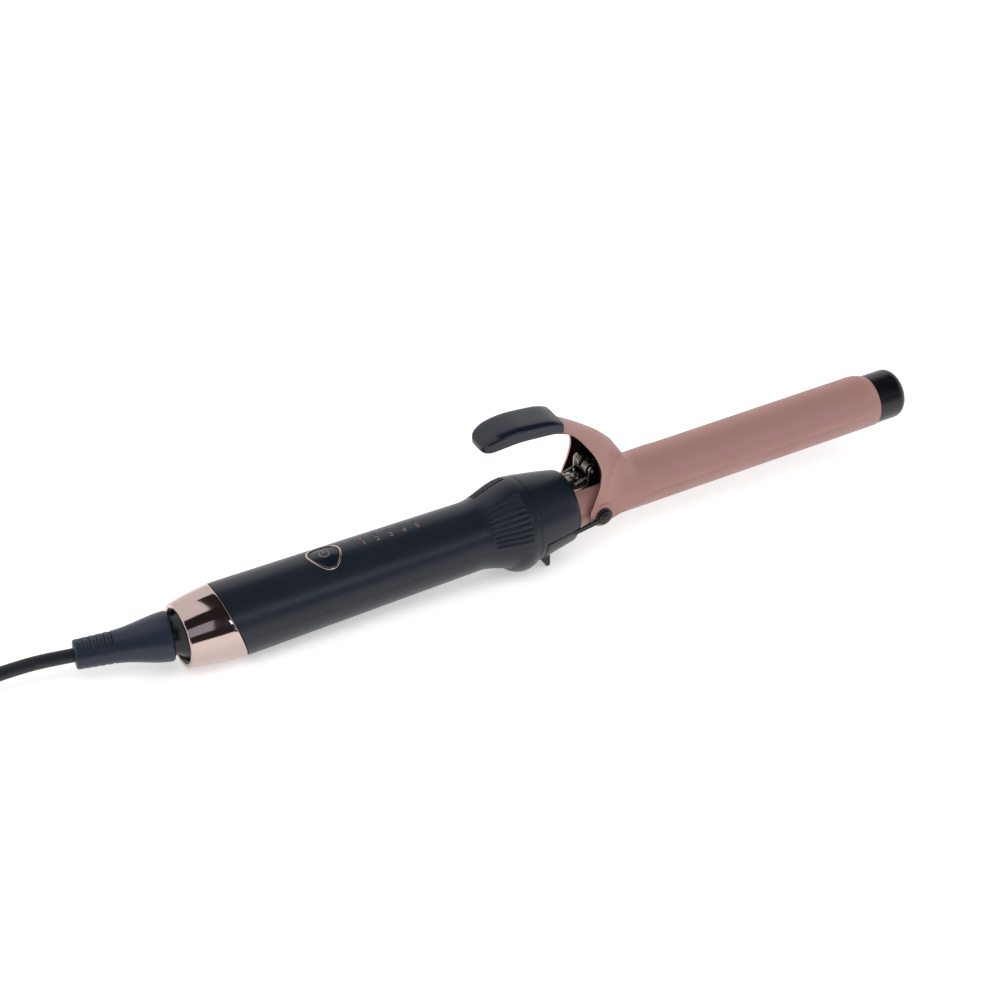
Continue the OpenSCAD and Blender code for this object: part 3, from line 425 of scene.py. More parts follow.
def slabPiece(name, corners, low, high, put=toWorld):
    # a prism over a flat outline
    count = len(corners)
    points = [(x, y, low) for x, y in corners] + [(x, y, high) for x, y in corners]
    faces = [tuple(range(count))[::-1], tuple(range(count, 2 * count))]
    faces += [(i, (i + 1) % count, count + (i + 1) % count, count + i) for i in range(count)]
    return meshPiece(name, put(points), faces)


def roundedBox(name, low, high, radius, put=toWorld, segments=3):
    corners = [(low[0], low[1]), (high[0], low[1]), (high[0], high[1]), (low[0], high[1])]
    return softenEdges(slabPiece(name, corners, low[2], high[2], put), radius, segments, 30)


def twoTone(piece, choose):
    # gives the second finish to the faces whose middle, in the iron's own frame, choose() picks
    if len(piece.data.materials) < 2:
        piece.data.materials.clear()
        piece.data.materials.append(None)
        piece.data.materials.append(None)
    for face in piece.data.polygons:
        face.material_index = int(bool(choose(toIron(np.array(face.center)))))
    return piece


def dressed(name, node, width, segments=2):
    # a CAD node's own shape with its sharp edges broken
    piece = addObject(name, nodes[node].data.copy())
    faceOutward(piece.data, True)
    for layer in list(piece.data.uv_layers):
        piece.data.uv_layers.remove(layer)
    return softenEdges(piece, width, segments, 30)


def newTree(name, sockets):
    tree = bpy.data.node_groups.new(name, "GeometryNodeTree")
    tree.interface.new_socket("Geometry", in_out="INPUT", socket_type="NodeSocketGeometry")
    for label, kind in sockets:
        tree.interface.new_socket(label, in_out="INPUT", socket_type="NodeSocket" + kind)
    tree.interface.new_socket("Geometry", in_out="OUTPUT", socket_type="NodeSocketGeometry")
    return tree, addNode(tree, "NodeGroupInput"), addNode(tree, "NodeGroupOutput")


def endTree(tree, geometry, material, out):
    real = addNode(tree, "GeometryNodeRealizeInstances", {"Geometry": geometry})
    painted = addNode(tree, "GeometryNodeSetMaterial", {"Geometry": real.outputs[0], "Material": material})
    tree.links.new(painted.outputs[0], out.inputs["Geometry"])


def grow(piece, tree, values):
    # runs a tree on a piece and keeps the result as its plain mesh
    step = piece.modifiers.new(tree.name, "NODES")
    step.node_group = tree
    named = {s.name: s.identifier for s in tree.interface.items_tree
             if s.item_type == "SOCKET" and s.in_out == "INPUT"}
    for label, value in values.items():
        step[named[label]] = value
    return bake(piece)


def wireTree():
    # a round wire along the piece's edges
    tree, given, out = newTree("roundWire", [("Diameter", "Float"), ("Sides", "Int"), ("Finish", "Material")])
    line = addNode(tree, "GeometryNodeMeshToCurve", {"Mesh": given.outputs["Geometry"]})
    halved = addNode(tree, "ShaderNodeMath", {0: given.outputs["Diameter"], 1: 0.5}, operation="MULTIPLY")
    ring = addNode(tree, "GeometryNodeCurvePrimitiveCircle",
                   {"Resolution": given.outputs["Sides"], "Radius": halved.outputs[0]})
    tube = addNode(tree, "GeometryNodeCurveToMesh",
                   {"Curve": line.outputs[0], "Profile Curve": ring.outputs[0], "Fill Caps": True})
    endTree(tree, tube.outputs[0], given.outputs["Finish"], out)
    return tree


def rowTree():
    # one shape, the piece's own mesh, repeated along a line
    tree, given, out = newTree("repeatInRow", [("Count", "Int"), ("Step", "Vector"), ("Finish", "Material")])
    line = addNode(tree, "GeometryNodeMeshLine",
                   {"Count": given.outputs["Count"], "Offset": given.outputs["Step"]}, mode="OFFSET")
    laid = addNode(tree, "GeometryNodeInstanceOnPoints",
                   {"Points": line.outputs[0], "Instance": given.outputs["Geometry"]})
    endTree(tree, laid.outputs[0], given.outputs["Finish"], out)
    return tree


roundWire, repeatInRow = wireTree(), rowTree()


def wirePiece(name, worldPoints, diameter, sides, finish):
    mesh = bpy.data.meshes.new(name)
    edges = [(i, i + 1) for i in range(len(worldPoints) - 1)]
    mesh.from_pydata([tuple(p) for p in worldPoints], edges, [])
    return grow(addObject(name, mesh), roundWire,
                {"Diameter": diameter / 1000, "Sides": sides, "Finish": finishes[finish]})


def rowOf(cutter, count, step):
    # step along the world's axes, in mm
    return grow(cutter, repeatInRow, {"Count": count, "Step": tuple(np.array(step) / 1000),
                                      "Finish": finishes["reliefPvc"]})


# strain relief: the ball in the ring, the shoulder behind it, the taper and its slots
reliefData = dict(yaw=11.5, length=50.0, ball=11.5, ballDepth=7.6, ballBack=8.0, neck=8.6, shoulderAt=10.2,
                  shoulder=21.4, middle=13.6, end=12.6, endRound=1.1, ladderStart=34.0, slots=5, pitch=3.0,
                  slot=1.3, slotHeight=4.0)
# power cord: where the hank lies, its two lanes of turns, its three levels, and where the plug lies
cordData = dict(diameter=6.0, hankX=-348.0, hankY=-3.0, foldX=60.0, outerFold=25.2, innerFold=19.0,
                waistCentre=107.58, outerWaist=97.98, innerWaist=104.18, levels=(3.05, 9.2, 15.3),
                hump=0.75, plugX=-356.0, plugY=0.0, plugZ=25.6, hidden=6.0, pointGap=3.2)
ballX = toIron(nodePoints("rear_ring"))[:, 0].min() + reliefData["ballDepth"]
yaw = math.radians(reliefData["yaw"])
reliefWay = np.array([-math.cos(yaw), math.sin(yaw), 0])
cordWay = reliefWay @ turn
cordExit = toWorld(np.array([ballX, 0, 0]) + reliefData["length"] * reliefWay)[0] * 1000


def cordRoute(d):
    # in millimetres along the world's axes
    hankX, hankY, plugX, plugY, plugZ = (d[k] for k in ("hankX", "hankY", "plugX", "plugY", "plugZ"))
    spot = math.atan2(d["waistCentre"], d["foldX"])       # where fold and waist arcs meet
    turned = math.pi - spot
    z1, z2, z3 = d["levels"]
    outer, inner = (d["outerFold"], d["outerWaist"]), (d["innerFold"], d["innerWaist"])

    def fold(end, a, b, low, high, lane, steps):
        # round a fold; end +1 is the fold nearer the iron; angles from its own far side
        made = []
        for k in range(1, steps + 1):
            t = k / steps
            angle = a + (b - a) * t
            made.append((hankX + end * (d["foldX"] + lane[0] * math.cos(angle)),
                         hankY + lane[0] * math.sin(angle), low + (high - low) * smooth(t)))
        return made

    def waist(side, first, last, level, share=1.0):
        # along the drawn-in side, from one lane to another
        made = []
        reach = math.pi / 2 - spot
        for k in range(1, 17):
            t = k / 16
            if t > share:
                break
            angle = side * reach - 2 * side * reach * t
            r = first[1] + (last[1] - first[1]) * smooth(t)
            x = hankX + r * math.sin(angle)
            y = hankY + side * (d["waistCentre"] - r * math.cos(angle))
            hump = d["hump"] * max(0, 1 - (abs(x - hankX) / 16) ** 2) ** 2    # over the tie's strap
            made.append((x, y, level + hump))
        return made

    path = [cordExit - 6 * cordWay, cordExit, cordExit + 7 * cordWay,
            (-218, 12.6, 13.6), (-228, 13.6, 12.6), (-238, 14.8, 11.2), (-248, 16.4, 9.2),
            (-258, 18.0, 7.2), (-268, 19.8, 5.3), (-278, 21.4, 3.9),
            (hankX + d["foldX"], hankY + d["outerFold"], 3.2)]
    path += fold(1, math.pi / 2, turned, z1, z1, outer, 3)
    lane, side = outer, 1
    for following, low, high in ((outer, z1, z1), (inner, z1, z1), (inner, z1, z2), (inner, z2, z2),
                                 (outer, z2, z2), (outer, z2, z3), (outer, z3, z3), (inner, z3, z3)):
        path += waist(side, lane, following, low)
        path += fold(-side, side * turned, -side * turned, low, high, following,
                     22 if following is outer else 20)
        lane, side = following, -side
    path += waist(side, lane, lane, z3, share=0.15)
    path += [(hankX + 37, plugY + 10, 16.2), (hankX + 28, plugY + 6, 18.8), (hankX + 18, plugY + 3, 21.8),
             (hankX + 8, plugY + 1, 24.3), (plugX + 6, plugY, plugZ - 0.2), (plugX, plugY, plugZ),
             (plugX - 8, plugY, plugZ)]
    return np.array(path, float)


def gaps(path):
    return np.linalg.norm(np.diff(path, axis=0), axis=1)


def evened(path, gap, rounds=2):
    # even spacing on a smooth line through the points
    for _ in range(rounds):
        steps = np.r_[0, np.cumsum(gaps(path))]
        at = np.linspace(0, steps[-1], int(steps[-1] / gap) + 1)
        path = np.stack([np.interp(at, steps, path[:, k]) for k in range(3)], 1)
        soft = path.copy()
        soft[2:-2] = (path[:-4] + 4 * path[1:-3] + 6 * path[2:-2] + 4 * path[3:-1] + path[4:]) / 16
        path = soft
    return path


cordPath = evened(cordRoute(cordData), cordData["pointGap"])
# the first stretch lies inside the relief and isn't drawn
cordPath = cordPath[int(np.searchsorted(np.cumsum(gaps(cordPath)), cordData["hidden"])):]
powerCord = wirePiece("powerCord", cordPath / 1000, cordData["diameter"], 18, "cordPvc")
settle(powerCord, "cordPvc", "iron", ("power_cord", "cord_hank"), 60)


def reliefProfile(d):
    shoulder, wide, half, end = d["shoulderAt"], d["shoulder"] / 2, d["middle"] / 2, d["end"] / 2
    ball, length, lip = d["ball"], d["length"], d["endRound"]
    made = [(-d["ballBack"], 0)]
    made += [(ball * math.sin(a), ball * math.cos(a))
             for a in np.linspace(-math.asin(d["ballBack"] / ball), math.acos(d["neck"] / ball), 14)]
    made += [(shoulder - 0.5, d["neck"] - 0.1), (shoulder - 0.25, wide - 0.9), (shoulder, wide - 0.35),
             (shoulder + 0.45, wide - 0.06), (shoulder + 1.1, wide)]
    for t in np.arange(1, 31) / 30:
        ease = smooth(t) * 0.75 + t * 0.25
        made.append((shoulder + 1.1 + t * (d["ladderStart"] + 1 - shoulder),
                     half + (wide - half) * (1 - ease) ** 1.2))
    made += [(length - lip, end)]
    made += [(length - lip + lip * math.sin(a), end - lip * (1 - math.cos(a)))
             for a in np.linspace(0.3, math.pi / 2, 5)]
    # the mouth round the cord
    return made + [(length, 3.5), (length - 0.3, 3.22), (length - 2.6, 3.12), (length - 2.6, 0)]


def onRelief(points):
    # relief's own frame (along, across, up) to the iron's frame
    points = np.asarray(points, float).reshape(-1, 3)
    side, up = np.array([math.sin(yaw), math.cos(yaw), 0]), [0, 0, 1]
    return np.array([ballX, 0, 0]) + points[:, :1] * reliefWay + points[:, 1:2] * side + points[:, 2:] * up


def reliefPiece(d):
    piece = moved(lathed("strainRelief", reliefProfile(d), 144, put=inMetres),
                  lambda points: toWorld(onRelief(points * [1, -1, 1])))
    first, cutters = d["ladderStart"], []
    for up in (1, -1):
        cutter = roundedBox("slotCutter", (first, -15, d["slotHeight"]), (first + d["slot"], 15, 15), 0.3,
                            lambda points: toWorld(onRelief(np.array(points) * [1, 1, up])), 2)
        cutters.append(rowOf(cutter, d["slots"], d["pitch"] * cordWay))
    carve(piece, cutters)
    softenEdges(piece, 0.16, 2, 50)
    # the ball and neck take the black nylon finish; its near-black also stands in for the shade in the ring's
    # mouth: painted shade
    return twoTone(piece, lambda p: (p - [ballX, 0, 0]) @ reliefWay < d["shoulderAt"] - 0.05)


settle(reliefPiece(reliefData), ("reliefPvc", "glassFilledNylon"), "cord_swivel",
       ("strain_relief",), 40)
print("stage: strain relief")

handleData = dict(rearD=33.8, waistD=30.9, flareD=40.6, waistX=48.0, flareX=25.5, seamX=162.0, lean=15.0,
                  leanFrom=-135.0, wall=2.2, gap=0.1, guardX=27.0, guardDrop=2.6, guardTube=9.5,
                  guardReach=10.5, joint=0.5, jointFill=0.35, grooves=9, groovePitch=7.6, grooveFirst=19.0,
                  grooveDepth=0.62, grooveHalf=1.02, grooveBack=-42.0, grooveFront=-27.0,
                  screws=(-143.0, -57.0), screwHole=2.6)
collarData = dict(length=22.3, rearD=40.0, frontD=31.6, plateBack=-19.3, plateFront=1.2, plateTop=-2.3,
                  plateMargin=1.05)


def handleRadius(x, d=handleData):
    waist = d["waistD"] / 2
    if x < -d["waistX"]:
        return waist + (d["rearD"] - d["waistD"]) / 2 * (-x - d["waistX"]) / (d["seamX"] - d["waistX"])
    if x < -d["flareX"]:
        t = (x + d["waistX"]) / (d["waistX"] - d["flareX"])
        return waist + (d["flareD"] - d["waistD"]) / 2 * smooth(t)
    t = (x + d["flareX"]) / (d["flareX"] - collarData["length"])
    return d["flareD"] / 2 - (d["flareD"] - collarData["rearD"]) / 2 * smooth(min(max(t, 0), 1))


def collarRadius(x, d=collarData):
    return d["frontD"] / 2 + (d["rearD"] - d["frontD"]) / 2 * (max(-x, 0) / d["length"]) ** 0.8


def handleSkin(x, angle, d=handleData):
    # outside radius at a station, with the finger guard; angle from straight up, in radians
    radius = handleRadius(x)
    along = x + d["guardX"]
    if abs(along) < d["guardTube"]:
        reach = d["guardReach"] + math.sqrt(d["guardTube"] ** 2 - along * along)
        drop, lean = d["guardDrop"], math.cos(angle)
        inside = (drop * lean) ** 2 - drop * drop + reach * reach
        guard = -drop * lean + math.sqrt(max(inside, 0))
        gap = (radius - guard) / d["joint"]               # soft joint between flare and guard
        radius = max(radius, guard) + d["joint"] * math.log1p(math.exp(-abs(gap))) * d["jointFill"]
    return radius


def grooveCut(x, angle, radius, d=handleData):
    side = abs(math.degrees(angle))
    number = round((side - d["grooveFirst"]) / d["groovePitch"])
    number = min(max(number, 0), d["grooves"] - 1)
    across = math.radians(side - d["grooveFirst"] - number * d["groovePitch"]) * radius
    away = math.hypot(across, max(0, d["grooveBack"] - x, x - d["grooveFront"]))
    if away >= d["grooveHalf"]:
        return 0
    return d["grooveDepth"] * (0.5 + 0.5 * math.cos(math.pi * away / d["grooveHalf"])) ** 0.8


def handleStations(d=handleData):
    # closest together at the ends of the grooves and at the front edge
    made, front = [], -collarData["length"] - 0.05
    for first, last, step in ((-d["seamX"] - 6, -60, 3.2), (-60, -45, 1.0), (-45, -40, 0.3), (-40, -30, 0.6),
                              (-30, -26, 0.3), (-26, front - 0.35, 0.4)):
        made += list(np.arange(first, last, step))
    return made + [front - 0.3, front - 0.12, front]


def shellPiece(name, upper, d=handleData):
    # half of the handle's skin, closed by its inner wall; rows run round, columns along
    angles = np.linspace(-math.pi / 2, math.pi / 2, 211 if upper else 121)
    if not upper:
        angles = angles + math.pi
    stations = handleStations()
    leanFrom, profiles = d["leanFrom"], []
    for angle in angles:
        outer, inner = [], []
        for x in stations:
            radius = handleSkin(x, angle)
            if upper:
                radius -= grooveCut(x, angle, radius)
            radius -= max(0, 0.3 - (stations[-1] - x)) ** 2 / 0.6         # broken front edge
            at = x
            if x <= leanFrom:                             # towards the seam, columns lean with it
                seam = -d["seamX"] - radius * math.cos(angle) * math.tan(math.radians(d["lean"])) + 0.1
                at = seam + (leanFrom - seam) * (x - stations[0]) / (leanFrom - stations[0])
                radius = handleSkin(at, angle) - max(0, 0.25 - (at - seam)) ** 2 / 0.5
            outer.append((at, radius * math.sin(angle), radius * math.cos(angle)))
            # the inner wall takes fewer columns where the grooves divide the outside finely
            if x <= -60 or x > -24 or int(x * 10) % 6 < 3:
                rest = handleRadius(at) - d["wall"]
                inner.append((at, rest * math.sin(angle), rest * math.cos(angle)))
        profiles.append(outer + inner[::-1])
    # the split faces stand half the gap off the middle plane
    lift = (1 if upper else -1) * d["gap"] / 2
    profiles = [[(x, y, z + lift * (1 - min(1, abs(z) / 6))) for x, y, z in p] for p in profiles]
    points, faces = roundGrid(profiles, False)
    cols = len(profiles[0])
    outerCount = len(stations)
    innerCount = cols - outerCount
    for start, flip in ((0, False), ((len(profiles) - 1) * cols, True)):
        # close the split face with a strip between outer and inner line
        outerLine = [start + i for i in range(outerCount)]
        innerLine = [start + cols - 1 - i for i in range(innerCount)]
        i = j = 0
        while i < outerCount - 1 or j < innerCount - 1:
            ahead = i < outerCount - 1 and (
                j == innerCount - 1 or points[outerLine[i + 1]][0] <= points[innerLine[j + 1]][0])
            if ahead:
                face = (outerLine[i], outerLine[i + 1], innerLine[j])
                i += 1
            else:
                face = (outerLine[i], innerLine[j + 1], innerLine[j])
                j += 1
            faces.append(face if flip else face[::-1])
    return meshPiece(name, toWorld(points), faces)


buttonData = dict(x=-116.4, bezelW=16.9, rim=1.0, gap=0.2, proud=0.45, buttonProud=0.3, dome=0.35)
lightData = dict(x=-98.0, side=3.6, pitch=6.3, count=5, diameter=1.7, digitSide=-0.4, digitHeight=2.8,
                 guideLow=(-100, 2.1, 9.2), guideHigh=(-70.8, 5.1, 10.6))


def shieldOutline(width, count=96, centreX=buttonData["x"]):
    # three bulging sides with rounded-off corners; one corner faces -Y
    side, cornerReach, soft = 0.78 * width, 0.48 * width, 0.012 * width
    made = []
    for k in range(count):
        a = 2 * math.pi * k / count
        ray = np.array([math.cos(a), math.sin(a)])
        reaches = [cornerReach]
        for corner in (-90, 30, 150):
            way = math.radians(corner)
            c = (side - 0.423 * width) * np.array([math.cos(way), math.sin(way)])
            along = ray @ c
            reaches.append(along + math.sqrt(along * along - c @ c + side * side))
        least = min(reaches)
        reach = least - soft * math.log(sum(math.exp((least - r) / soft) for r in reaches))
        made.append((centreX + reach * ray[0], reach * ray[1]))
    return made


def roundCutter(name, x, y, radius, low, high):
    return slabPiece(name, circle(x, y, radius, 48), low, high)


handleUpper = shellPiece("handleUpper", True)
cutters = [slabPiece("bezelCutter", shieldOutline(buttonData["bezelW"] + 0.1), 4, 30)]
cutters += [roundCutter("lightCutter", lightData["x"] + i * lightData["pitch"], lightData["side"],
                        lightData["diameter"] / 2 + 0.08, 6, 30) for i in range(lightData["count"])]
settle(carve(handleUpper, cutters), "softTouchAbs", "iron", ("handle_upper_shell",), 40)
handleLower = shellPiece("handleLower", False)
cutters = [roundCutter("screwCutter", x, 0, handleData["screwHole"], -25, -10) for x in handleData["screws"]]
settle(carve(handleLower, cutters), "softTouchAbs", "iron", ("handle_lower_shell",), 40)
print("stage: handle shells")

shellScrewData = dict(radius=2.3, low=-12.0, high=-10.1, slot=0.7, shaft=17.8, shaftR=1.2)
bracketScrewData = dict(radius=2.2, low=13.05, high=14.45, slot=0.7, shaft=1.85, shaftR=1.2)


def screwHead(name, x, d, upright=True):
    # pan head with a cross recess on its shaft, its axis along Z; it looks down if not upright
    low, high, radius = d["low"], d["high"], d["radius"]
    rise = high - low
    profile = [(-d["shaft"], 0), (-d["shaft"], d["shaftR"]), (0, d["shaftR"]), (0, radius),
               (rise * 0.35, radius), (rise * 0.75, radius * 0.82), (rise * 0.95, radius * 0.5), (rise, 0)]
    profile = [(low + s if upright else high - s, r) for s, r in profile]
    head = lathed(name, profile, 40, (x, 0, 0), "z")
    depth = rise * 0.6
    bottom, top = (high - depth, high + 1) if upright else (low - 1, low + depth)
    arms = []
    for wide, long in ((radius * 0.6, d["slot"] / 2), (d["slot"] / 2, radius * 0.6)):
        corners = [(x - wide, -long), (x + wide, -long), (x + wide, long), (x - wide, long)]
        arms.append(slabPiece("cross", corners, bottom, top))
    return softenEdges(carve(head, arms), 0.08, 1, 40)


for number, x in enumerate(handleData["screws"]):
    settle(screwHead(f"shellScrew{number + 1}", x, shellScrewData, False), "zincSteel", "iron",
           ("shell_screws",) if number else (), 40)


def onHandle(x, y, high):
    # a point that stands high over the handle's round top
    return x, y, math.sqrt(handleRadius(x) ** 2 - y * y) + high


def bezelPiece(d):
    outer = np.array(shieldOutline(d["bezelW"] - 0.06, 144))
    inner = np.array(shieldOutline(d["bezelW"] - 2 * d["rim"], 144))
    proud = d["proud"]
    # share of the way from the outer to the inner outline, and height
    section = [(0.0, -1.9), (0.0, -0.1), (0.0, 0.12), (0.12, proud * 0.8), (0.32, proud), (0.68, proud),
               (0.88, proud * 0.8), (1.0, 0.1), (1.0, -0.2), (1.0, -1.9)]
    profiles = [[onHandle(*(o + (i - o) * share), high) for share, high in section]
                for o, i in zip(outer, inner)]
    points, faces = roundGrid(profiles, True)
    return meshPiece("buttonBezel", toWorld(points), faces)


def padPiece(name, outline, height, depth, dome, rings=10):
    # a cap over a flat outline that follows the handle; height is how far its rim stands proud
    outline = np.array(outline)
    centre = outline.mean(0)
    points, faces, count = [], [], len(outline)

    def ring(share, high):
        start = len(points)
        points.extend(onHandle(*(centre + (corner - centre) * share), high) for corner in outline)
        return start

    flank = 0.965                                         # share of the outline where the dome starts
    levels = [ring(1, -depth), ring(1, height - 0.35), ring(0.99, height - 0.12), ring(flank, height)]
    for k in range(1, rings):
        share = flank * (1 - k / rings)
        levels.append(ring(share, height + dome * (1 - (share / flank) ** 2)))
    for a, b in zip(levels, levels[1:]):
        faces += [(a + k, a + (k + 1) % count, b + (k + 1) % count, b + k) for k in range(count)]
    top = len(points)
    points.append(onHandle(*centre, height + dome))
    faces += [(levels[-1] + k, levels[-1] + (k + 1) % count, top) for k in range(count)]
    faces.append(tuple(levels[0] + k for k in range(count))[::-1])
    return meshPiece(name, toWorld(points), faces)


settle(bezelPiece(buttonData), "champagneMetallised", "iron", ("button_bezel",), 50)
padOutline = shieldOutline(buttonData["bezelW"] - 2 * buttonData["rim"] - 2 * buttonData["gap"], 144)
settle(padPiece("powerButtonPad", padOutline, buttonData["buttonProud"] - 0.3, 2.0, buttonData["dome"]),
       "softTouchGrip", "button", ("power_button",), 50)


def printedBand(name, outer, inner, lift):
    # a raised line on the button between two matching lines, ends closed
    points, faces, count = [], [], len(outer)
    for high in (lift - 0.1, lift):
        points += [onHandle(x, y, high) for x, y in (*outer, *inner)]
    for k in range(count - 1):
        lo, li, ho, hi = k, count + k, 2 * count + k, 3 * count + k
        faces += [(ho, hi, hi + 1, ho + 1), (lo, lo + 1, li + 1, li), (lo, ho, ho + 1, lo + 1),
                  (li, li + 1, hi + 1, hi)]
    faces += [(0, count, 3 * count, 2 * count), (count - 1, 3 * count - 1, 4 * count - 1, 2 * count - 1)]
    settle(meshPiece(name, toWorld(points), faces), "rosePrint", "button", (), 30)


# power mark: a broken ring, open towards the far side, and a bar in the opening
markData = dict(x=buttonData["x"], y=0.4, radius=2.1, width=0.42, gap=70.0, barStart=0.3, bar=2.5,
                lift=buttonData["dome"] * 0.93 + 0.03)


def powerMark(d):
    half = d["width"] / 2
    angles = np.radians(np.linspace(90 + d["gap"] / 2, 450 - d["gap"] / 2, 60))
    ring = [[(d["x"] + r * math.cos(a), d["y"] + r * math.sin(a)) for a in angles]
            for r in (d["radius"] + half, d["radius"] - half)]
    printedBand("powerMarkRing", *ring, d["lift"])
    reach = np.linspace(d["barStart"], d["barStart"] + d["bar"], 8)
    bar = [[(d["x"] + x, d["y"] + y) for y in reach] for x in (half, -half)]
    printedBand("powerMarkBar", *bar, d["lift"] + 0.01)


def digitPiece(number, x, d):
    curve = bpy.data.curves.new("digit", "FONT")
    curve.body = str(number)
    curve.size = d["digitHeight"] / 0.72                  # figures fill 0.72 of the type size
    curve.align_x = "CENTER"
    curve.align_y = "CENTER"
    curve.extrude = 0.06
    curve.resolution_u = 6
    text = addObject("digit", curve)
    mesh = finalMesh(text)
    bpy.data.objects.remove(text)
    points = readPoints(mesh).astype(float)
    middle = (points.min(0) + points.max(0)) / 2
    # figures read with their tops towards the far side
    placed = [onHandle(x + px - middle[0], d["digitSide"] + py - middle[1], 0.07 if pz > middle[2] else 0.02)
              for px, py, pz in points]
    writePoints(mesh, toWorld(placed))
    settle(addObject(f"digit{number}", mesh), "rosePrint", "iron", (), 30)


powerMark(markData)
for i in range(lightData["count"]):
    at = lightData["x"] + i * lightData["pitch"]
    lens = circle(at, lightData["side"], lightData["diameter"] / 2, 40)
    settle(padPiece(f"lightWindow{i + 1}", lens, -0.12, 7.6, 0.18, 6), "smokedAcrylic" if i else "litAcrylic",
           "iron", (), 50)
    digitPiece(i + 1, at, lightData)
settle(roundedBox("lightGuideBar", lightData["guideLow"], lightData["guideHigh"], 0.2), "milkyAcrylic",
       "iron", ("light_guide",), 40)
buttonStem = lathed("buttonStem", [(12.0, 0), (12.0, 1.9), (12.1, 2.0), (14.2, 2.0), (14.2, 0)], 32,
                    (buttonData["x"], 0, 0), "z")
settle(buttonStem, "glassFilledNylon", "button", (), 40)
print("stage: button, lights and figures")


def collarPiece(d):
    back, front = -d["length"], d["frontD"] / 2
    profile = [(back - 6.5, 12.08), (back - 6.5, 17.6), (back - 0.1, 17.6), (back + 0.05, 19.7),
               (back + 0.12, d["rearD"] / 2 - 0.12)]
    for k in range(1, 25):
        x = back + 0.4 + k * (d["length"] - 1.3) / 24
        profile.append((x, collarRadius(x)))
    profile += [(-0.9 + 0.9 * math.sin(a), front + 0.1 - 0.9 * (1 - math.cos(a)))
                for a in np.linspace(0.2, math.pi / 2, 7)]
    profile += [(0, 13.2), (-0.15, 12.5), (-0.6, 12.12)]
    return lathed("noseCollar", profile, 180)


def plateRoom(d):
    # the space under the collar that the stand's plate folds into
    back, front, margin, wide, deep = d["plateBack"], d["plateFront"], d["plateMargin"], 20, 30
    shape = slabPiece("plateCutter", [(back, -wide), (front, -wide), (front, wide), (back, wide)], -deep,
                      d["plateTop"])
    core = lathed("plateCore", [(back - 1, 0), (back - 1, collarRadius(back - 1) - margin),
                                (1.5, collarRadius(0) - margin - 0.3), (1.5, 0)], 120)
    return carve(shape, [core])


noseCollar = softenEdges(carve(collarPiece(collarData), [plateRoom(collarData)]), 0.15, 2, 50)
settle(noseCollar, "softTouchAbs", "iron", ("nose_collar",), 40)

# rear ring: from the leaning seam to a round rim
ringData = dict(length=22.2, rimD=28.2, bore=12.2, fillet=0.8, bulge=0.4, lip=1.5, rows=180, columns=34)
rimX = -handleData["seamX"] - ringData["length"]


def ringPiece(d):
    lean = math.tan(math.radians(handleData["lean"]))
    f, lip, bore = d["fillet"], d["lip"], d["bore"]
    profiles = []
    for k in range(d["rows"]):
        a = 2 * math.pi * k / d["rows"]
        cosA, sinA = math.cos(a), math.sin(a)
        radius = handleRadius(-handleData["seamX"])
        for _ in range(6):                                # seam and radius depend on each other
            seam = -handleData["seamX"] - radius * cosA * lean
            radius = handleRadius(seam)
        start = np.array([seam - 0.02, radius])
        end = np.array([rimX, d["rimD"] / 2])
        profile = [(seam + 3.0, radius - 3.0), (seam + 0.02, radius - 2.6)]
        profile += [(start[0] - lip * (1 - math.cos(b)), start[1] - lip * 0.55 * (1 - math.sin(b)) ** 1.5)
                    for b in np.linspace(0, math.pi / 2, 8)[:-1]]
        start = start - [lip, 0]
        for t in np.linspace(0, 1, d["columns"]):
            along, out = start + (end - start) * t
            profile.append((along, out + d["bulge"] * math.sin(math.pi * t)))
        last = profile.pop()
        profile += [(rimX + f * (1 - math.sin(b)), last[1] - f * (1 - math.cos(b)) + 0.05)
                    for b in np.linspace(0, math.pi / 2, 6)[1:]]
        profile += [(rimX, bore + 0.35), (rimX + 0.12, bore + 0.1), (rimX + 0.4, bore), (seam + 3.0, bore)]
        profiles.append([(x, r * sinA, r * cosA) for x, r in profile])
    points, faces = roundGrid(profiles, True)
    return meshPiece("rearRing", toWorld(points), faces)


settle(ringPiece(ringData), "champagneMetallised", "iron", ("rear_ring",), 40)
retainer = [(4.0, 12.15), (0.9, 12.15), (0.6, 12.0), (0.5, 11.75), (0.7, 11.5), (1.2, 11.3), (4.0, 10.5)]
settle(lathed("ballRetainer", [(rimX + s, r) for s, r in retainer], 128), "glassFilledNylon", "iron",
       ("ball_retainer",), 40)
print("stage: collar and rear ring")

barrelData = dict(diameter=24.0, wall=0.8, length=164.0, root=24.0, tip=15.8, tipRound=4.5)


def barrelPiece(d):
    end, outer = d["length"], d["diameter"] / 2
    bore = outer - d["wall"]
    return lathed("barrelTube", [(-d["root"], bore), (-d["root"], outer), (end - 0.35, outer),
                                 (end - 0.1, outer - 0.1), (end, outer - 0.3), (end, bore)], 192)


def tipPiece(d):
    bore, outer, bend = d["diameter"] / 2 - d["wall"] - 0.05, d["diameter"] / 2 - 0.4, d["tipRound"]
    start, end = d["length"] + 0.08, d["length"] + d["tip"]
    profile = [(d["length"] - 8, 0), (d["length"] - 8, bore - 0.5), (d["length"] - 7.5, bore), (start, bore),
               (start, outer - 0.25), (start + 0.25, outer)]
    profile += [(x, outer) for x in np.linspace(start + 1, end - bend, 6)]
    profile += [(end - bend * (1 - math.sin(a)), outer - bend * (1 - math.cos(a)))
                for a in np.linspace(0.08, math.pi / 2 - 0.02, 18)]
    return lathed("coolTip", profile + [(end, outer - bend - 2), (end, 0)], 160)


settle(barrelPiece(barrelData), "rosePearlCoat", "iron", ("barrel_tube",), 30)
settle(tipPiece(barrelData), "glassFilledNylon", "iron", ("tip_cap",), 30)
print("stage: barrel and tip")

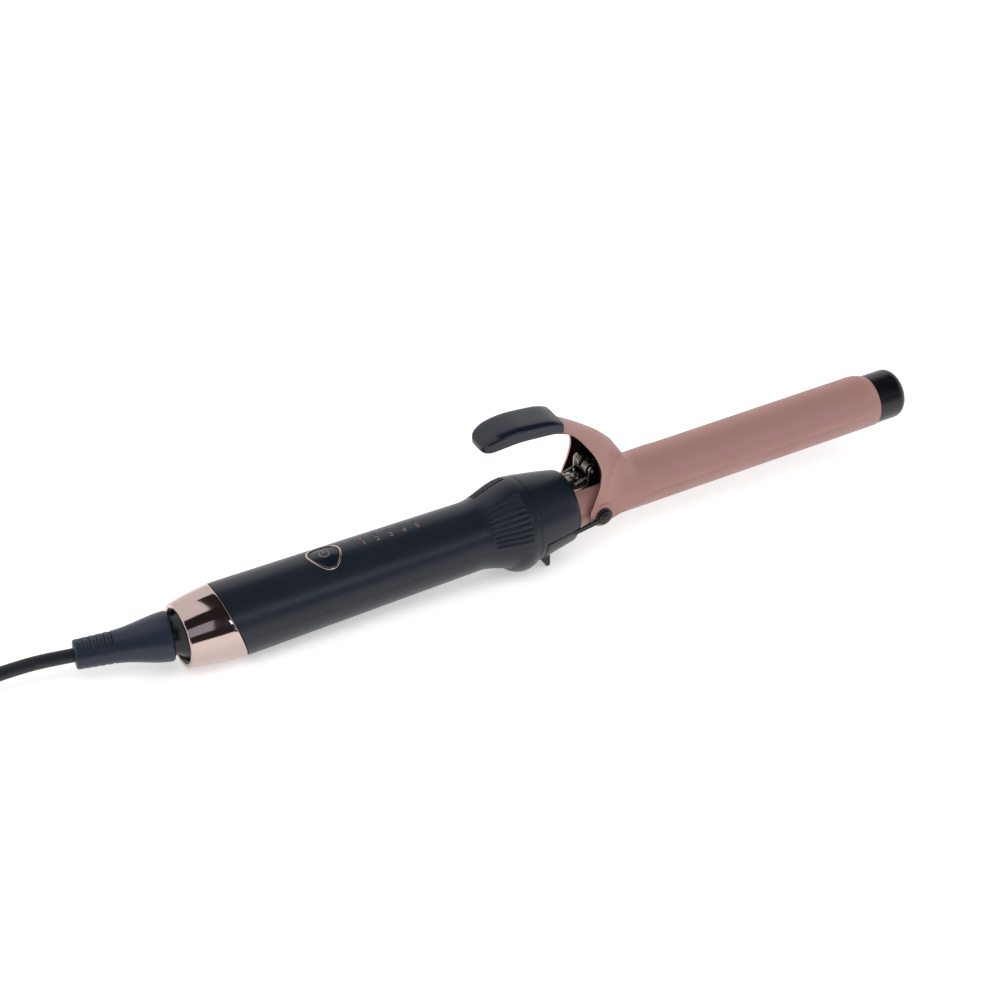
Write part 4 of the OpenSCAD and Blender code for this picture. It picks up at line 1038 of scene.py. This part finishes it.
# clamp: half-round blade, saddle and lever pressed from one sheet
clampData = dict(sheet=1.0, inner=12.3, end=161.6, edge=1.2, corner=4.0, rowSteps=6, columns=72,
                 pivotX=11.6, pivotZ=-1.0, hole=2.05, earIn=13.5, earOut=14.7, earR=5.6, bracketR=5.0,
                 bracketHalf=13.2)
rootR = clampData["inner"] + clampData["sheet"] - 0.02
sideW = clampData["earOut"] - 0.2
# rows of the saddle and lever: crown x, crown height over the blade, edge x, edge z, half width
saddleRows = [
    (47, 0, 47, 1.5, rootR), (40, 0, 40, 1.2, rootR), (34.8, 0.2, 34.5, 0.6, rootR + 0.2),
    (32, 1.3, 29, -0.6, sideW - 0.4), (30, 3.6, 22.5, -2.6, sideW), (28.2, 6.4, 15, -4.6, sideW),
    (26.5, 9, 7.6, -4.4, sideW), (24.9, 11.5, 5.2, 0.8, sideW), (23, 14.3, 7.4, 7.5, sideW),
    (20.2, 17.1, 9.8, 14.4, sideW - 0.2), (17, 19.9, 10.8, 21.4, sideW - 0.8),
    (13, 22.8, 8.8, 28.8, sideW - 2.4), (8, 26.1, 4.6, 35.6, sideW - 4.1), (2, 29.5, 0.4, 40.8, sideW - 5.6),
    (-4, 32.1, -4.8, 44.6, sideW - 6), (-12, 34.2, -12.4, 47, sideW - 6.6),
    (-26, 36.2, -26.2, 49.2, sideW - 7.4),
]


def catmull(rows, at):
    # a smooth curve through the rows; at counts in rows
    rows = np.asarray(rows, float)
    k = min(int(at), len(rows) - 2)
    t, last = at - k, len(rows) - 1
    a, b, c, d = rows[max(k - 1, 0)], rows[k], rows[k + 1], rows[min(k + 2, last)]
    return 0.5 * (2 * b + (c - a) * t + (2 * a - 5 * b + 4 * c - d) * t * t
                  + (3 * b - a - 3 * c + d) * t ** 3)


def saddleArch(at, angles):
    crownX, rise, edgeX, edgeZ, half = catmull(saddleRows, at)
    share = 1 - np.cos(angles)
    crownZ = rootR + rise
    return np.stack([crownX + (edgeX - crownX) * share, half * np.sin(angles),
                     crownZ + (edgeZ - crownZ) * share], 1)


def bladeArch(x, radius, columns, d=clampData):
    past = x - (d["end"] - d["corner"])
    edge = d["edge"] + (d["corner"] - math.sqrt(max(0, d["corner"] ** 2 - past * past)) if past > 0 else 0)
    limit = math.acos(edge / (d["inner"] + d["sheet"]))
    angles = np.linspace(-limit, limit, columns)
    return np.stack([np.full(columns, x), radius * np.sin(angles), radius * np.cos(angles)], 1)


def clampPiece(d):
    columns = d["columns"] + 1
    full = np.linspace(-math.pi / 2, math.pi / 2, columns)
    ends = [0, 0.15, 0.45, 0.9, 1.5, 2.2, 3.0, 3.7, 4.4, 5.4, 7]
    stations = [d["end"] - e for e in ends] + list(np.arange(d["end"] - 12, 54, -6)) + [52.5, 51, 49.6, 48.3]
    outer, inner = [], []
    for x in stations:
        roll = np.interp(d["end"] - x, [0, 0.3, 1.1, 2.6, 5], [0.72, 0.5, 0.3, 0.1, 0])
        row = bladeArch(x, d["inner"] + d["sheet"] - roll, columns)
        if x < 53:                                        # the blade runs into the saddle's first row
            w = smooth((53 - x) / 6)
            arch = saddleArch(0, full)
            arch[:, 0] = x
            row = row * (1 - w) + arch * w
        outer.append(row)
        inner.append(bladeArch(x, d["inner"], columns))
    count = (len(saddleRows) - 1) * d["rowSteps"]
    outer += [saddleArch(i / d["rowSteps"], full) for i in range(count + 1)]
    grid = np.array(outer)
    inward = np.cross(np.gradient(grid, axis=0), np.gradient(grid, axis=1))
    inward /= np.linalg.norm(inward, axis=2, keepdims=True)
    hollow = grid + d["sheet"] * inward
    for i, row in enumerate(inner):
        w = smooth(min(1, max(0, (60 - stations[i]) / 12)))
        hollow[i] = row * (1 - w) + hollow[i] * w
    rows = len(grid)
    points = list(grid.reshape(-1, 3)) + list(hollow.reshape(-1, 3))
    layer = rows * columns
    faces, kinds = [], []                                 # kinds: 0 outside, 1 inside, 2 cut edge

    # cut edges take the third finish: worn metal, made lighter also as a painted highlight
    def rim(face, flip):
        faces.append(face[::-1] if flip else face)
        kinds.append(2)

    for i in range(rows - 1):
        for j in range(columns - 1):
            a = i * columns + j
            faces.extend([(a, a + columns, a + columns + 1, a + 1),
                          (layer + a, layer + a + 1, layer + a + columns + 1, layer + a + columns)])
            kinds.extend([0, 1])
        for j in (0, columns - 1):
            a = i * columns + j
            rim((a, layer + a, layer + a + columns, a + columns), j > 0)
    for i in (0, rows - 1):
        for j in range(columns - 1):
            a = i * columns + j
            rim((a, a + 1, layer + a + 1, layer + a), i > 0)
    piece = meshPiece("clampBlade", toWorld(points), faces)
    for _ in range(3):
        piece.data.materials.append(None)
    piece.data.polygons.foreach_set("material_index", kinds)
    return piece


def earPiece(side, d):
    r, low, high = d["earR"], d["earIn"], d["earOut"]
    profile = [(low, 0), (low, r - 0.15), (low + 0.15, r), (high - 0.3, r), (high - 0.08, r - 0.12),
               (high, r - 0.32), (high, 0)]
    return lathed("ear", [(side * s, q) for s, q in profile], 96, (d["pivotX"], 0, d["pivotZ"]), "y")


def crossRod(name, x, z, radius, half, steps=64):
    return lathed(name, [(-half, 0), (-half, radius), (half, radius), (half, 0)], steps, (x, 0, z), "y")


clampBlade = clampPiece(clampData)
pivot = clampData["pivotX"], clampData["pivotZ"]
carve(clampBlade, [crossRod("bracketRoom", *pivot, clampData["bracketR"], clampData["bracketHalf"])])
carve(clampBlade, [earPiece(-1, clampData), earPiece(1, clampData)], "UNION")
carve(clampBlade, [crossRod("pinHole", *pivot, clampData["hole"], 20)])
softenEdges(clampBlade, 0.13, 2, 48)
# inside faces take a near-black brown: painted shade for the shadow inside the clamp
settle(clampBlade, ("rosePearlCoat", "insidePaintedShade", "roseEdgeWearAndHighlight"), "clamp",
       ("clamp",), 32)
print("stage: clamp")

gripData = dict(width=16.6, height=7.5, middle=50.9, squareness=0.37, sides=96, steps=6)
# sections across X: x, middle's height, share of the half width, share of the half height
gripRows = [(-5.2, -4, 0.95, 0.76), (-5.8, -3.9, 1, 0.82), (-10, -2.6, 1, 0.92), (-17, -1.7, 1, 0.98),
            (-27, -0.95, 1, 1), (-35.5, -1.7, 0.98, 0.95), (-40, -2.8, 0.88, 0.82), (-42.4, -3.4, 0.7, 0.6),
            (-43.35, -3.65, 0.47, 0.38), (-43.6, -3.7, 0.3, 0.24)]


def gripPiece(d):
    count = (len(gripRows) - 1) * d["steps"]
    sections = [catmull(gripRows, i / d["steps"]) for i in range(count + 1)]
    first = sections[0]
    # the front edge is rolled in
    sections = [first * [1, 1, 0.9, 0.88], first * [1, 1, 0.97, 0.96] + [-0.06, 0, 0, 0]] + sections[1:]
    profiles = []
    for k in range(d["sides"]):
        a = 2 * math.pi * k / d["sides"]
        c, s, e = math.cos(a), math.sin(a), d["squareness"]
        profiles.append([(x, d["width"] / 2 * w * math.copysign(abs(c) ** e, c),
                          d["middle"] + mid + d["height"] / 2 * h * math.copysign(abs(s) ** e, s))
                         for x, mid, w, h in sections])
    points, faces = roundGrid(profiles, True, False)
    cols = len(sections)
    for col, section in ((0, sections[0]), (cols - 1, sections[-1])):
        points.append((section[0] - (0.05 if col else 0), 0, d["middle"] + section[1]))
        hub = len(points) - 1
        for k in range(d["sides"]):
            a, b = k * cols + col, (k + 1) % d["sides"] * cols + col
            faces.append((a, b, hub) if col == 0 else (b, a, hub))
    return meshPiece("thumbGrip", toWorld(points), faces)


settle(gripPiece(gripData), "softTouchGrip", "clamp", ("thumb_grip",), 50)

springData = dict(wire=1.1, coilR=2.9, turns=3, pinX=11.0, pinZ=18.0, pinR=1.2, pinHalf=7.2, pitch=1.2,
                  start=4.9, lift=11.4, footX=2.5, kneeX=6.5, strip=13.0, bendFrom=3.2, bendTo=10.2)
legWay = np.array([math.cos(math.pi / 6), 0, math.sin(math.pi / 6)])      # the front legs rise at 30 degrees


def springLine(d):
    # foot leg, coil and front leg of one side, the loop under the saddle, then the mirrored side
    end = d["turns"] * 360 - 60

    def coil(degrees):
        a = math.radians(degrees)
        return np.array([d["pinX"] + d["coilR"] * math.cos(a), d["start"] - d["pitch"] * (degrees + 90) / 360,
                         d["pinZ"] + d["coilR"] * math.sin(a)])

    half = [np.array([d["footX"], d["start"], d["strip"] - 0.2]),
            np.array([d["kneeX"], d["start"], d["strip"] + 1.2])]
    half += [coil(a) for a in np.linspace(-90, end, 34 * d["turns"])]
    half += [coil(end) + s * legWay for s in (2, 4.5, 7, 9.5)]
    reach = d["start"] - d["pitch"] * end / 360 - d["pitch"] / 4
    middle = coil(end) + d["lift"] * legWay
    middle[1] = 0
    loop = [middle + reach * (math.sin(a) * legWay + [0, math.cos(a), 0])
            for a in np.linspace(0, math.pi, 13)]
    return half + loop + [p * [1, -1, 1] for p in half[::-1]]


clampSpring = wirePiece("clampSpring", toWorld(springLine(springData)), springData["wire"], 14, "zincSteel")
settle(clampSpring, "zincSteel", None, ("clamp_spring",), 60)
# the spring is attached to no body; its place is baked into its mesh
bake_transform(clampSpring)


def pinPiece(side):
    # shaft, powder-coated flange and a raised blackened centre
    profile = [(12.1, 0), (12.1, 1.9), (12.2, 2.0), (16.3, 2.0), (16.3, 3.1), (16.4, 3.2), (16.62, 3.2),
               (16.8, 3.0), (16.88, 2.6), (16.88, 1.95), (17.15, 1.9), (17.34, 1.6), (17.4, 1.1), (17.4, 0)]
    pin = lathed("pivotPin" + ("Near" if side < 0 else "Far"), [(side * s, r) for s, r in profile], 64,
                 (clampData["pivotX"], 0, clampData["pivotZ"]), "y")
    return twoTone(pin, lambda p: 16.2 < abs(p[1]) < 16.95)


for side in (-1, 1):
    settle(pinPiece(side), ("blackenedSteel", "powderCoat"), "iron",
           ("pivot_pins",) if side > 0 else (), 40)
settle(dressed("pivotBracket", "pivot_bracket", 0.12), "zincSteel", "iron", ("pivot_bracket",), 35)
settle(dressed("springBracket", "spring_bracket", 0.15), "zincSteel", "iron",
       ("spring_bracket",), 35)
settle(screwHead("bracketScrew", 6, bracketScrewData), "zincSteel", "iron", ("bracket_screw",), 40)
springPin = crossRod("springPin", springData["pinX"], springData["pinZ"], springData["pinR"],
                     springData["pinHalf"], 40)
settle(softenEdges(springPin, 0.3, 3), "zincSteel", "iron", ("spring_pin",), 40)
settle(dressed("standPlate", "stand", 0.22, 3), "powderCoat", "stand", ("stand",), 35)
print("stage: grip, spring, pins and stand")

tieData = dict(width=12.0, inside=13.9, low=0.7, high=19.1, thickness=0.7, round=3.2, tabFrom=-9.0,
               tabTo=10.0, tabWidth=11.4, tabThickness=0.66)


def strapPiece(name, line, width, thickness, centreX=cordData["hankX"]):
    # a flat strap along a line in the Y-Z plane, with rounded-over edges
    line = np.array(line)
    along = np.gradient(line, axis=0)
    along /= np.linalg.norm(along, axis=1, keepdims=True)
    out = np.stack([-along[:, 1], along[:, 0]], 1)
    half, lip = width / 2, thickness / 2
    cross = [(-half, 0), (-half, lip * 0.7), (-half + lip, lip), (half - lip, lip), (half, lip * 0.7),
             (half, 0), (half, -lip * 0.7), (half - lip, -lip), (-half + lip, -lip), (-half, -lip * 0.7)]
    profiles = [[(centreX + x, *(p + o * t)) for x, t in cross] for p, o in zip(line, out)]
    points, faces = roundGrid(profiles, False)
    faces += [tuple(range(len(cross)))[::-1], tuple(range(len(points) - len(cross), len(points)))]
    return meshPiece(name, inMetres(points), faces)


def tieLine(d):
    middle, t = cordData["hankY"], d["thickness"] / 2
    half, low, high = d["inside"] + t, d["low"] - t, d["high"] + t
    corners = [(middle, low), (middle + half, low), (middle + half, high), (middle - half, high),
               (middle - half, low), (middle, low)]
    line = filleted(corners, [0, *[d["round"]] * 4, 0], 8, False)
    return evened(np.array([(0, *p) for p in line]), 0.8, 1)[:, 1:]


def tabLine(d):
    # the strap's loose end, pressed down at its tip
    return [(cordData["hankY"] + y, d["high"] + d["thickness"] * (1.5 if y < d["tabTo"] - 1 else 1.45))
            for y in np.linspace(d["tabFrom"], d["tabTo"], 24)]


cordTie = settle(strapPiece("cordTieStrap", tieLine(tieData), tieData["width"], tieData["thickness"]),
                 "loopStrap", "iron", ("cord_tie",), 50)
cordTieEnd = settle(strapPiece("cordTieEnd", tabLine(tieData), tieData["tabWidth"], tieData["tabThickness"]),
                    "loopStrap", "iron", (), 50)

# plug, built with X from the cord towards the pins
plugData = dict(neck=16.0, length=32.0, half=17.6, neckHalf=5.5, shoulder=16.0, thickness=13.7, pinPitch=19.0,
                pinLength=19.0, pin=4.0, sleeve=10.0, ribs=6, ribPitch=2.6, neckGrooves=4)


def toPlug(piece):
    # turns a finished piece of the plug round and lays it on the hank
    place = [cordData["plugX"], cordData["plugY"], cordData["plugZ"]]
    return moved(piece, lambda points: (points.astype(float) * [-1, -1, 1] + place) / 1000)


def plugPiece(d):
    a, b, w, tall = d["neck"], d["neck"] + d["length"], d["half"], d["thickness"] / 2
    narrow, slope = d["neckHalf"], d["neck"] + d["shoulder"]
    outline = filleted([(a, -narrow), (a, narrow), (slope, w - 1.6), (slope + 3, w), (b, w), (b, -w),
                        (slope + 3, -w), (slope, 1.6 - w)], [1.5, 1.5, 6, 6, 1.6, 1.6, 6, 6], 6)
    body = softenEdges(slabPiece("plugBody", outline, -tall, tall, inMetres), 1.5, 4, 50)
    neck = lathed("plugNeck", [(0, 0), (0.0, 3.4), (0.4, 3.7), (a - 5, 4.55), (a - 1, 5.1), (a + 1.5, 5.6),
                               (a + 1.5, 0)], 64, put=inMetres)
    carve(body, [neck], "UNION")
    ring = lathed("neckGroove", [(2.4, 3.45), (2.4, 7), (3.5, 7), (3.5, 3.55)], 64, put=inMetres)
    cutters = [rowOf(ring, d["neckGrooves"], (2.6, 0, 0))]
    for up in (1, -1):
        # grip ribs pressed into both flat faces
        z, near, far = up * tall, a + 9, a + 10.1
        rib = filleted([(near, -7), (far, -7), (far, 7), (near, 7)], [0.5] * 4, 3)
        bar = slabPiece("ribCut", rib, min(z, z - up * 0.5), max(z + up * 0.5, z - up * 0.5), inMetres)
        cutters.append(rowOf(bar, d["ribs"], (d["ribPitch"], 0, 0)))
    for side in (-1, 1):
        cutters.append(lathed("pinSocket", [(b - 10, 0), (b - 10, 1.98), (b + 1, 1.98), (b + 1, 0)], 40,
                              (0, side * d["pinPitch"] / 2, 0), put=inMetres))
    return toPlug(softenEdges(carve(body, cutters), 0.12, 2, 50))


def plugPin(number, side, d):
    face, r = d["neck"] + d["length"], d["pin"] / 2
    sleeveEnd, end, centre = face + d["sleeve"], face + d["pinLength"], (0, side * d["pinPitch"] / 2, 0)
    pin = lathed(f"plugPin{number}", [
        (face - 9.9, 0), (face - 9.9, r - 0.3), (sleeveEnd, r - 0.3), (sleeveEnd, r), (end - 1.4, r),
        (end - 0.7, r - 0.25), (end - 0.2, r - 0.8), (end, r - 1.4), (end, 0)], 48, centre, put=inMetres)
    settle(toPlug(pin), "zincSteel", "iron", ("plug_pins",) if number > 1 else (), 40)
    sleeve = lathed(f"pinSleeve{number}", [
        (face - 1, r - 0.28), (face - 1, r - 0.05), (sleeveEnd - 0.2, r - 0.05),
        (sleeveEnd - 0.05, r - 0.28)], 48, centre, put=inMetres)
    settle(toPlug(sleeve), "glassFilledNylon", "iron", (), 40)
    return [pin, sleeve]


plugBody = settle(plugPiece(plugData), "reliefPvc", "iron", ("plug_body",), 40)
plugParts = plugPin(1, -1, plugData) + plugPin(2, 1, plugData)
print("stage: tie and plug")

# working parts inside, which keep their CAD shape
innerNodes = {
    "extrudedAluminium": ("heat_spreader_upper", "heat_spreader_lower"),
    "firedCeramic": ("ptc_heater", "thermal_fuse", "insulator_disc"),
    "redGlassSleeve": ("heater_leads",), "blueGlassSleeve": ("supply_leads",),
    "solderMask": ("control_board",), "zincSteel": ("board_screws",), "springBrass": ("slip_contacts",),
    "epoxyMoulding": ("board_components",), "milkyAcrylic": ("light_diodes",),
    "glassFilledNylon": ("power_switch", "swivel_cup"),
}
for finish, names in innerNodes.items():
    for materialSlot in [held for name in names for held in nodes[name].material_slots]:
        materialSlot.link = "OBJECT"
        materialSlot.material = finishes[finish]

# floor, surroundings and light, in metres along the world's axes
studioData = dict(floor="#f4f4f4", floorGlow=0.42, floorReach=4.0, worldSeen=1.0, worldLight=0.52,
                  aim=(0, 0, 0.02))
lamps = {
    "keyLamp": dict(place=(-0.35, -0.55, 1.15), size=(1.1, 0.7), power=6.5),
    "fillLamp": dict(place=(0.9, -0.5, 0.8), size=(0.6, 0.6), power=2.6),
    "rimLamp": dict(place=(-0.2, 1.0, 0.9), size=(1.2, 0.5), power=3.2),
}
# cards that only reflections see: a dark ceiling and front wall, with windows and paler panels in them
cards = {
    "darkCeiling": dict(low=(-0.14, -1.9, 1.6), high=(2.4, 1.25, 1.6), colour="#2e2b2b"),
    "darkCeilingRear": dict(low=(-2.4, -1.9, 1.6), high=(-0.14, -0.25, 1.6), colour="#2e2b2b"),
    "darkWall": dict(low=(-2.4, -1.9, 0.02), high=(2.4, -1.9, 1.6), colour="#352f2f"),
    "frontWindow": dict(low=(-0.72, -1.88, 0.78), high=(-0.16, -1.88, 1.58), colour="#b4b9c8"),
    "skyWindow": dict(low=(-0.72, -1.88, 1.58), high=(-0.16, -1.35, 1.58), colour="#b4b9c8"),
    "frontPanel": dict(low=(0.45, -1.87, 0.2), high=(1.9, -1.87, 0.5), colour="#9aa2b0"),
    "brightPanel": dict(low=(0.22, -1.87, 0.92), high=(0.86, -1.87, 1.34), colour="#dbe4fa", strength=6.0),
    "dimPanel": dict(low=(0.95, -1.87, 0.9), high=(2.0, -1.87, 1.4), colour="#8a8f9c"),
}


def flatPiece(name, low, high, material):
    # a rectangle between two opposite corners, flat in one direction
    corners = [low, (high[0], *low[1:]), high, (low[0], *high[1:])]
    piece = meshPiece(name, corners, [(0, 1, 2, 3)], False)
    piece.data.materials.append(material)
    return piece


def emptyMaterial(name):
    material = bpy.data.materials.new(name)
    material.use_nodes = True
    material.node_tree.nodes.clear()
    return material


def seenDirectly(tree):
    # 1 for camera, glossy and transmission rays, 0 for the light that bounces
    rays = addNode(tree, "ShaderNodeLightPath").outputs
    seen = addNode(tree, "ShaderNodeMath", {0: rays["Is Camera Ray"], 1: rays["Is Glossy Ray"]},
                   operation="ADD", use_clamp=True)
    return addNode(tree, "ShaderNodeMath", {0: seen.outputs[0], 1: rays["Is Transmission Ray"]},
                   operation="ADD", use_clamp=True).outputs[0]


def makeFloor(d):
    material = emptyMaterial("paintedBackdrop")
    tree = material.node_tree
    strength = addNode(tree, "ShaderNodeMath", {0: seenDirectly(tree), 1: d["floorGlow"]},
                       operation="MULTIPLY")
    matte = addNode(tree, "ShaderNodeBsdfDiffuse", {"Color": linear(d["floor"])})
    glow = addNode(tree, "ShaderNodeEmission", {"Color": (1, 1, 1, 1), "Strength": strength.outputs[0]})
    both = addNode(tree, "ShaderNodeAddShader", {0: matte.outputs[0], 1: glow.outputs[0]})
    addNode(tree, "ShaderNodeOutputMaterial", {"Surface": both.outputs[0]})
    reach = d["floorReach"]
    flatPiece("floor", (-reach, -reach, -0.0002), (reach, reach, -0.0002), material)


def makeWorld(d):
    world = bpy.data.worlds.new("studio")
    scene.world = world
    world.use_nodes = True
    tree = world.node_tree
    tree.nodes.clear()
    strength = addNode(tree, "ShaderNodeMapRange", {"Value": seenDirectly(tree), "To Min": d["worldLight"],
                                                    "To Max": d["worldSeen"]}).outputs["Result"]
    back = addNode(tree, "ShaderNodeBackground", {"Color": (1, 1, 1, 1), "Strength": strength})
    addNode(tree, "ShaderNodeOutputWorld", {"Surface": back.outputs[0]})


def reflectorCard(name, low, high, colour, strength=1.0):
    material = emptyMaterial(name)
    tree = material.node_tree
    glow = addNode(tree, "ShaderNodeEmission", {"Color": linear(colour), "Strength": strength})
    addNode(tree, "ShaderNodeOutputMaterial", {"Surface": glow.outputs[0]})
    card = flatPiece(name, low, high, material)
    card.visible_camera = card.visible_diffuse = card.visible_shadow = card.visible_transmission = False


def softLamp(name, place, size, power):
    lamp = bpy.data.lights.new(name, "AREA")
    lamp.shape = "RECTANGLE"
    lamp.size, lamp.size_y = size
    lamp.energy = power
    holder = addObject(name, lamp)
    holder.visible_glossy = False
    holder.location = place
    holder.rotation_euler = (Vector(studioData["aim"]) - Vector(place)).to_track_quat("-Z", "Y").to_euler()


makeFloor(studioData)
makeWorld(studioData)
for name, card in cards.items():
    reflectorCard(name, **card)
for name, lamp in lamps.items():
    softLamp(name, **lamp)
print("stage: floor and light")

bpy.context.view_layer.update()
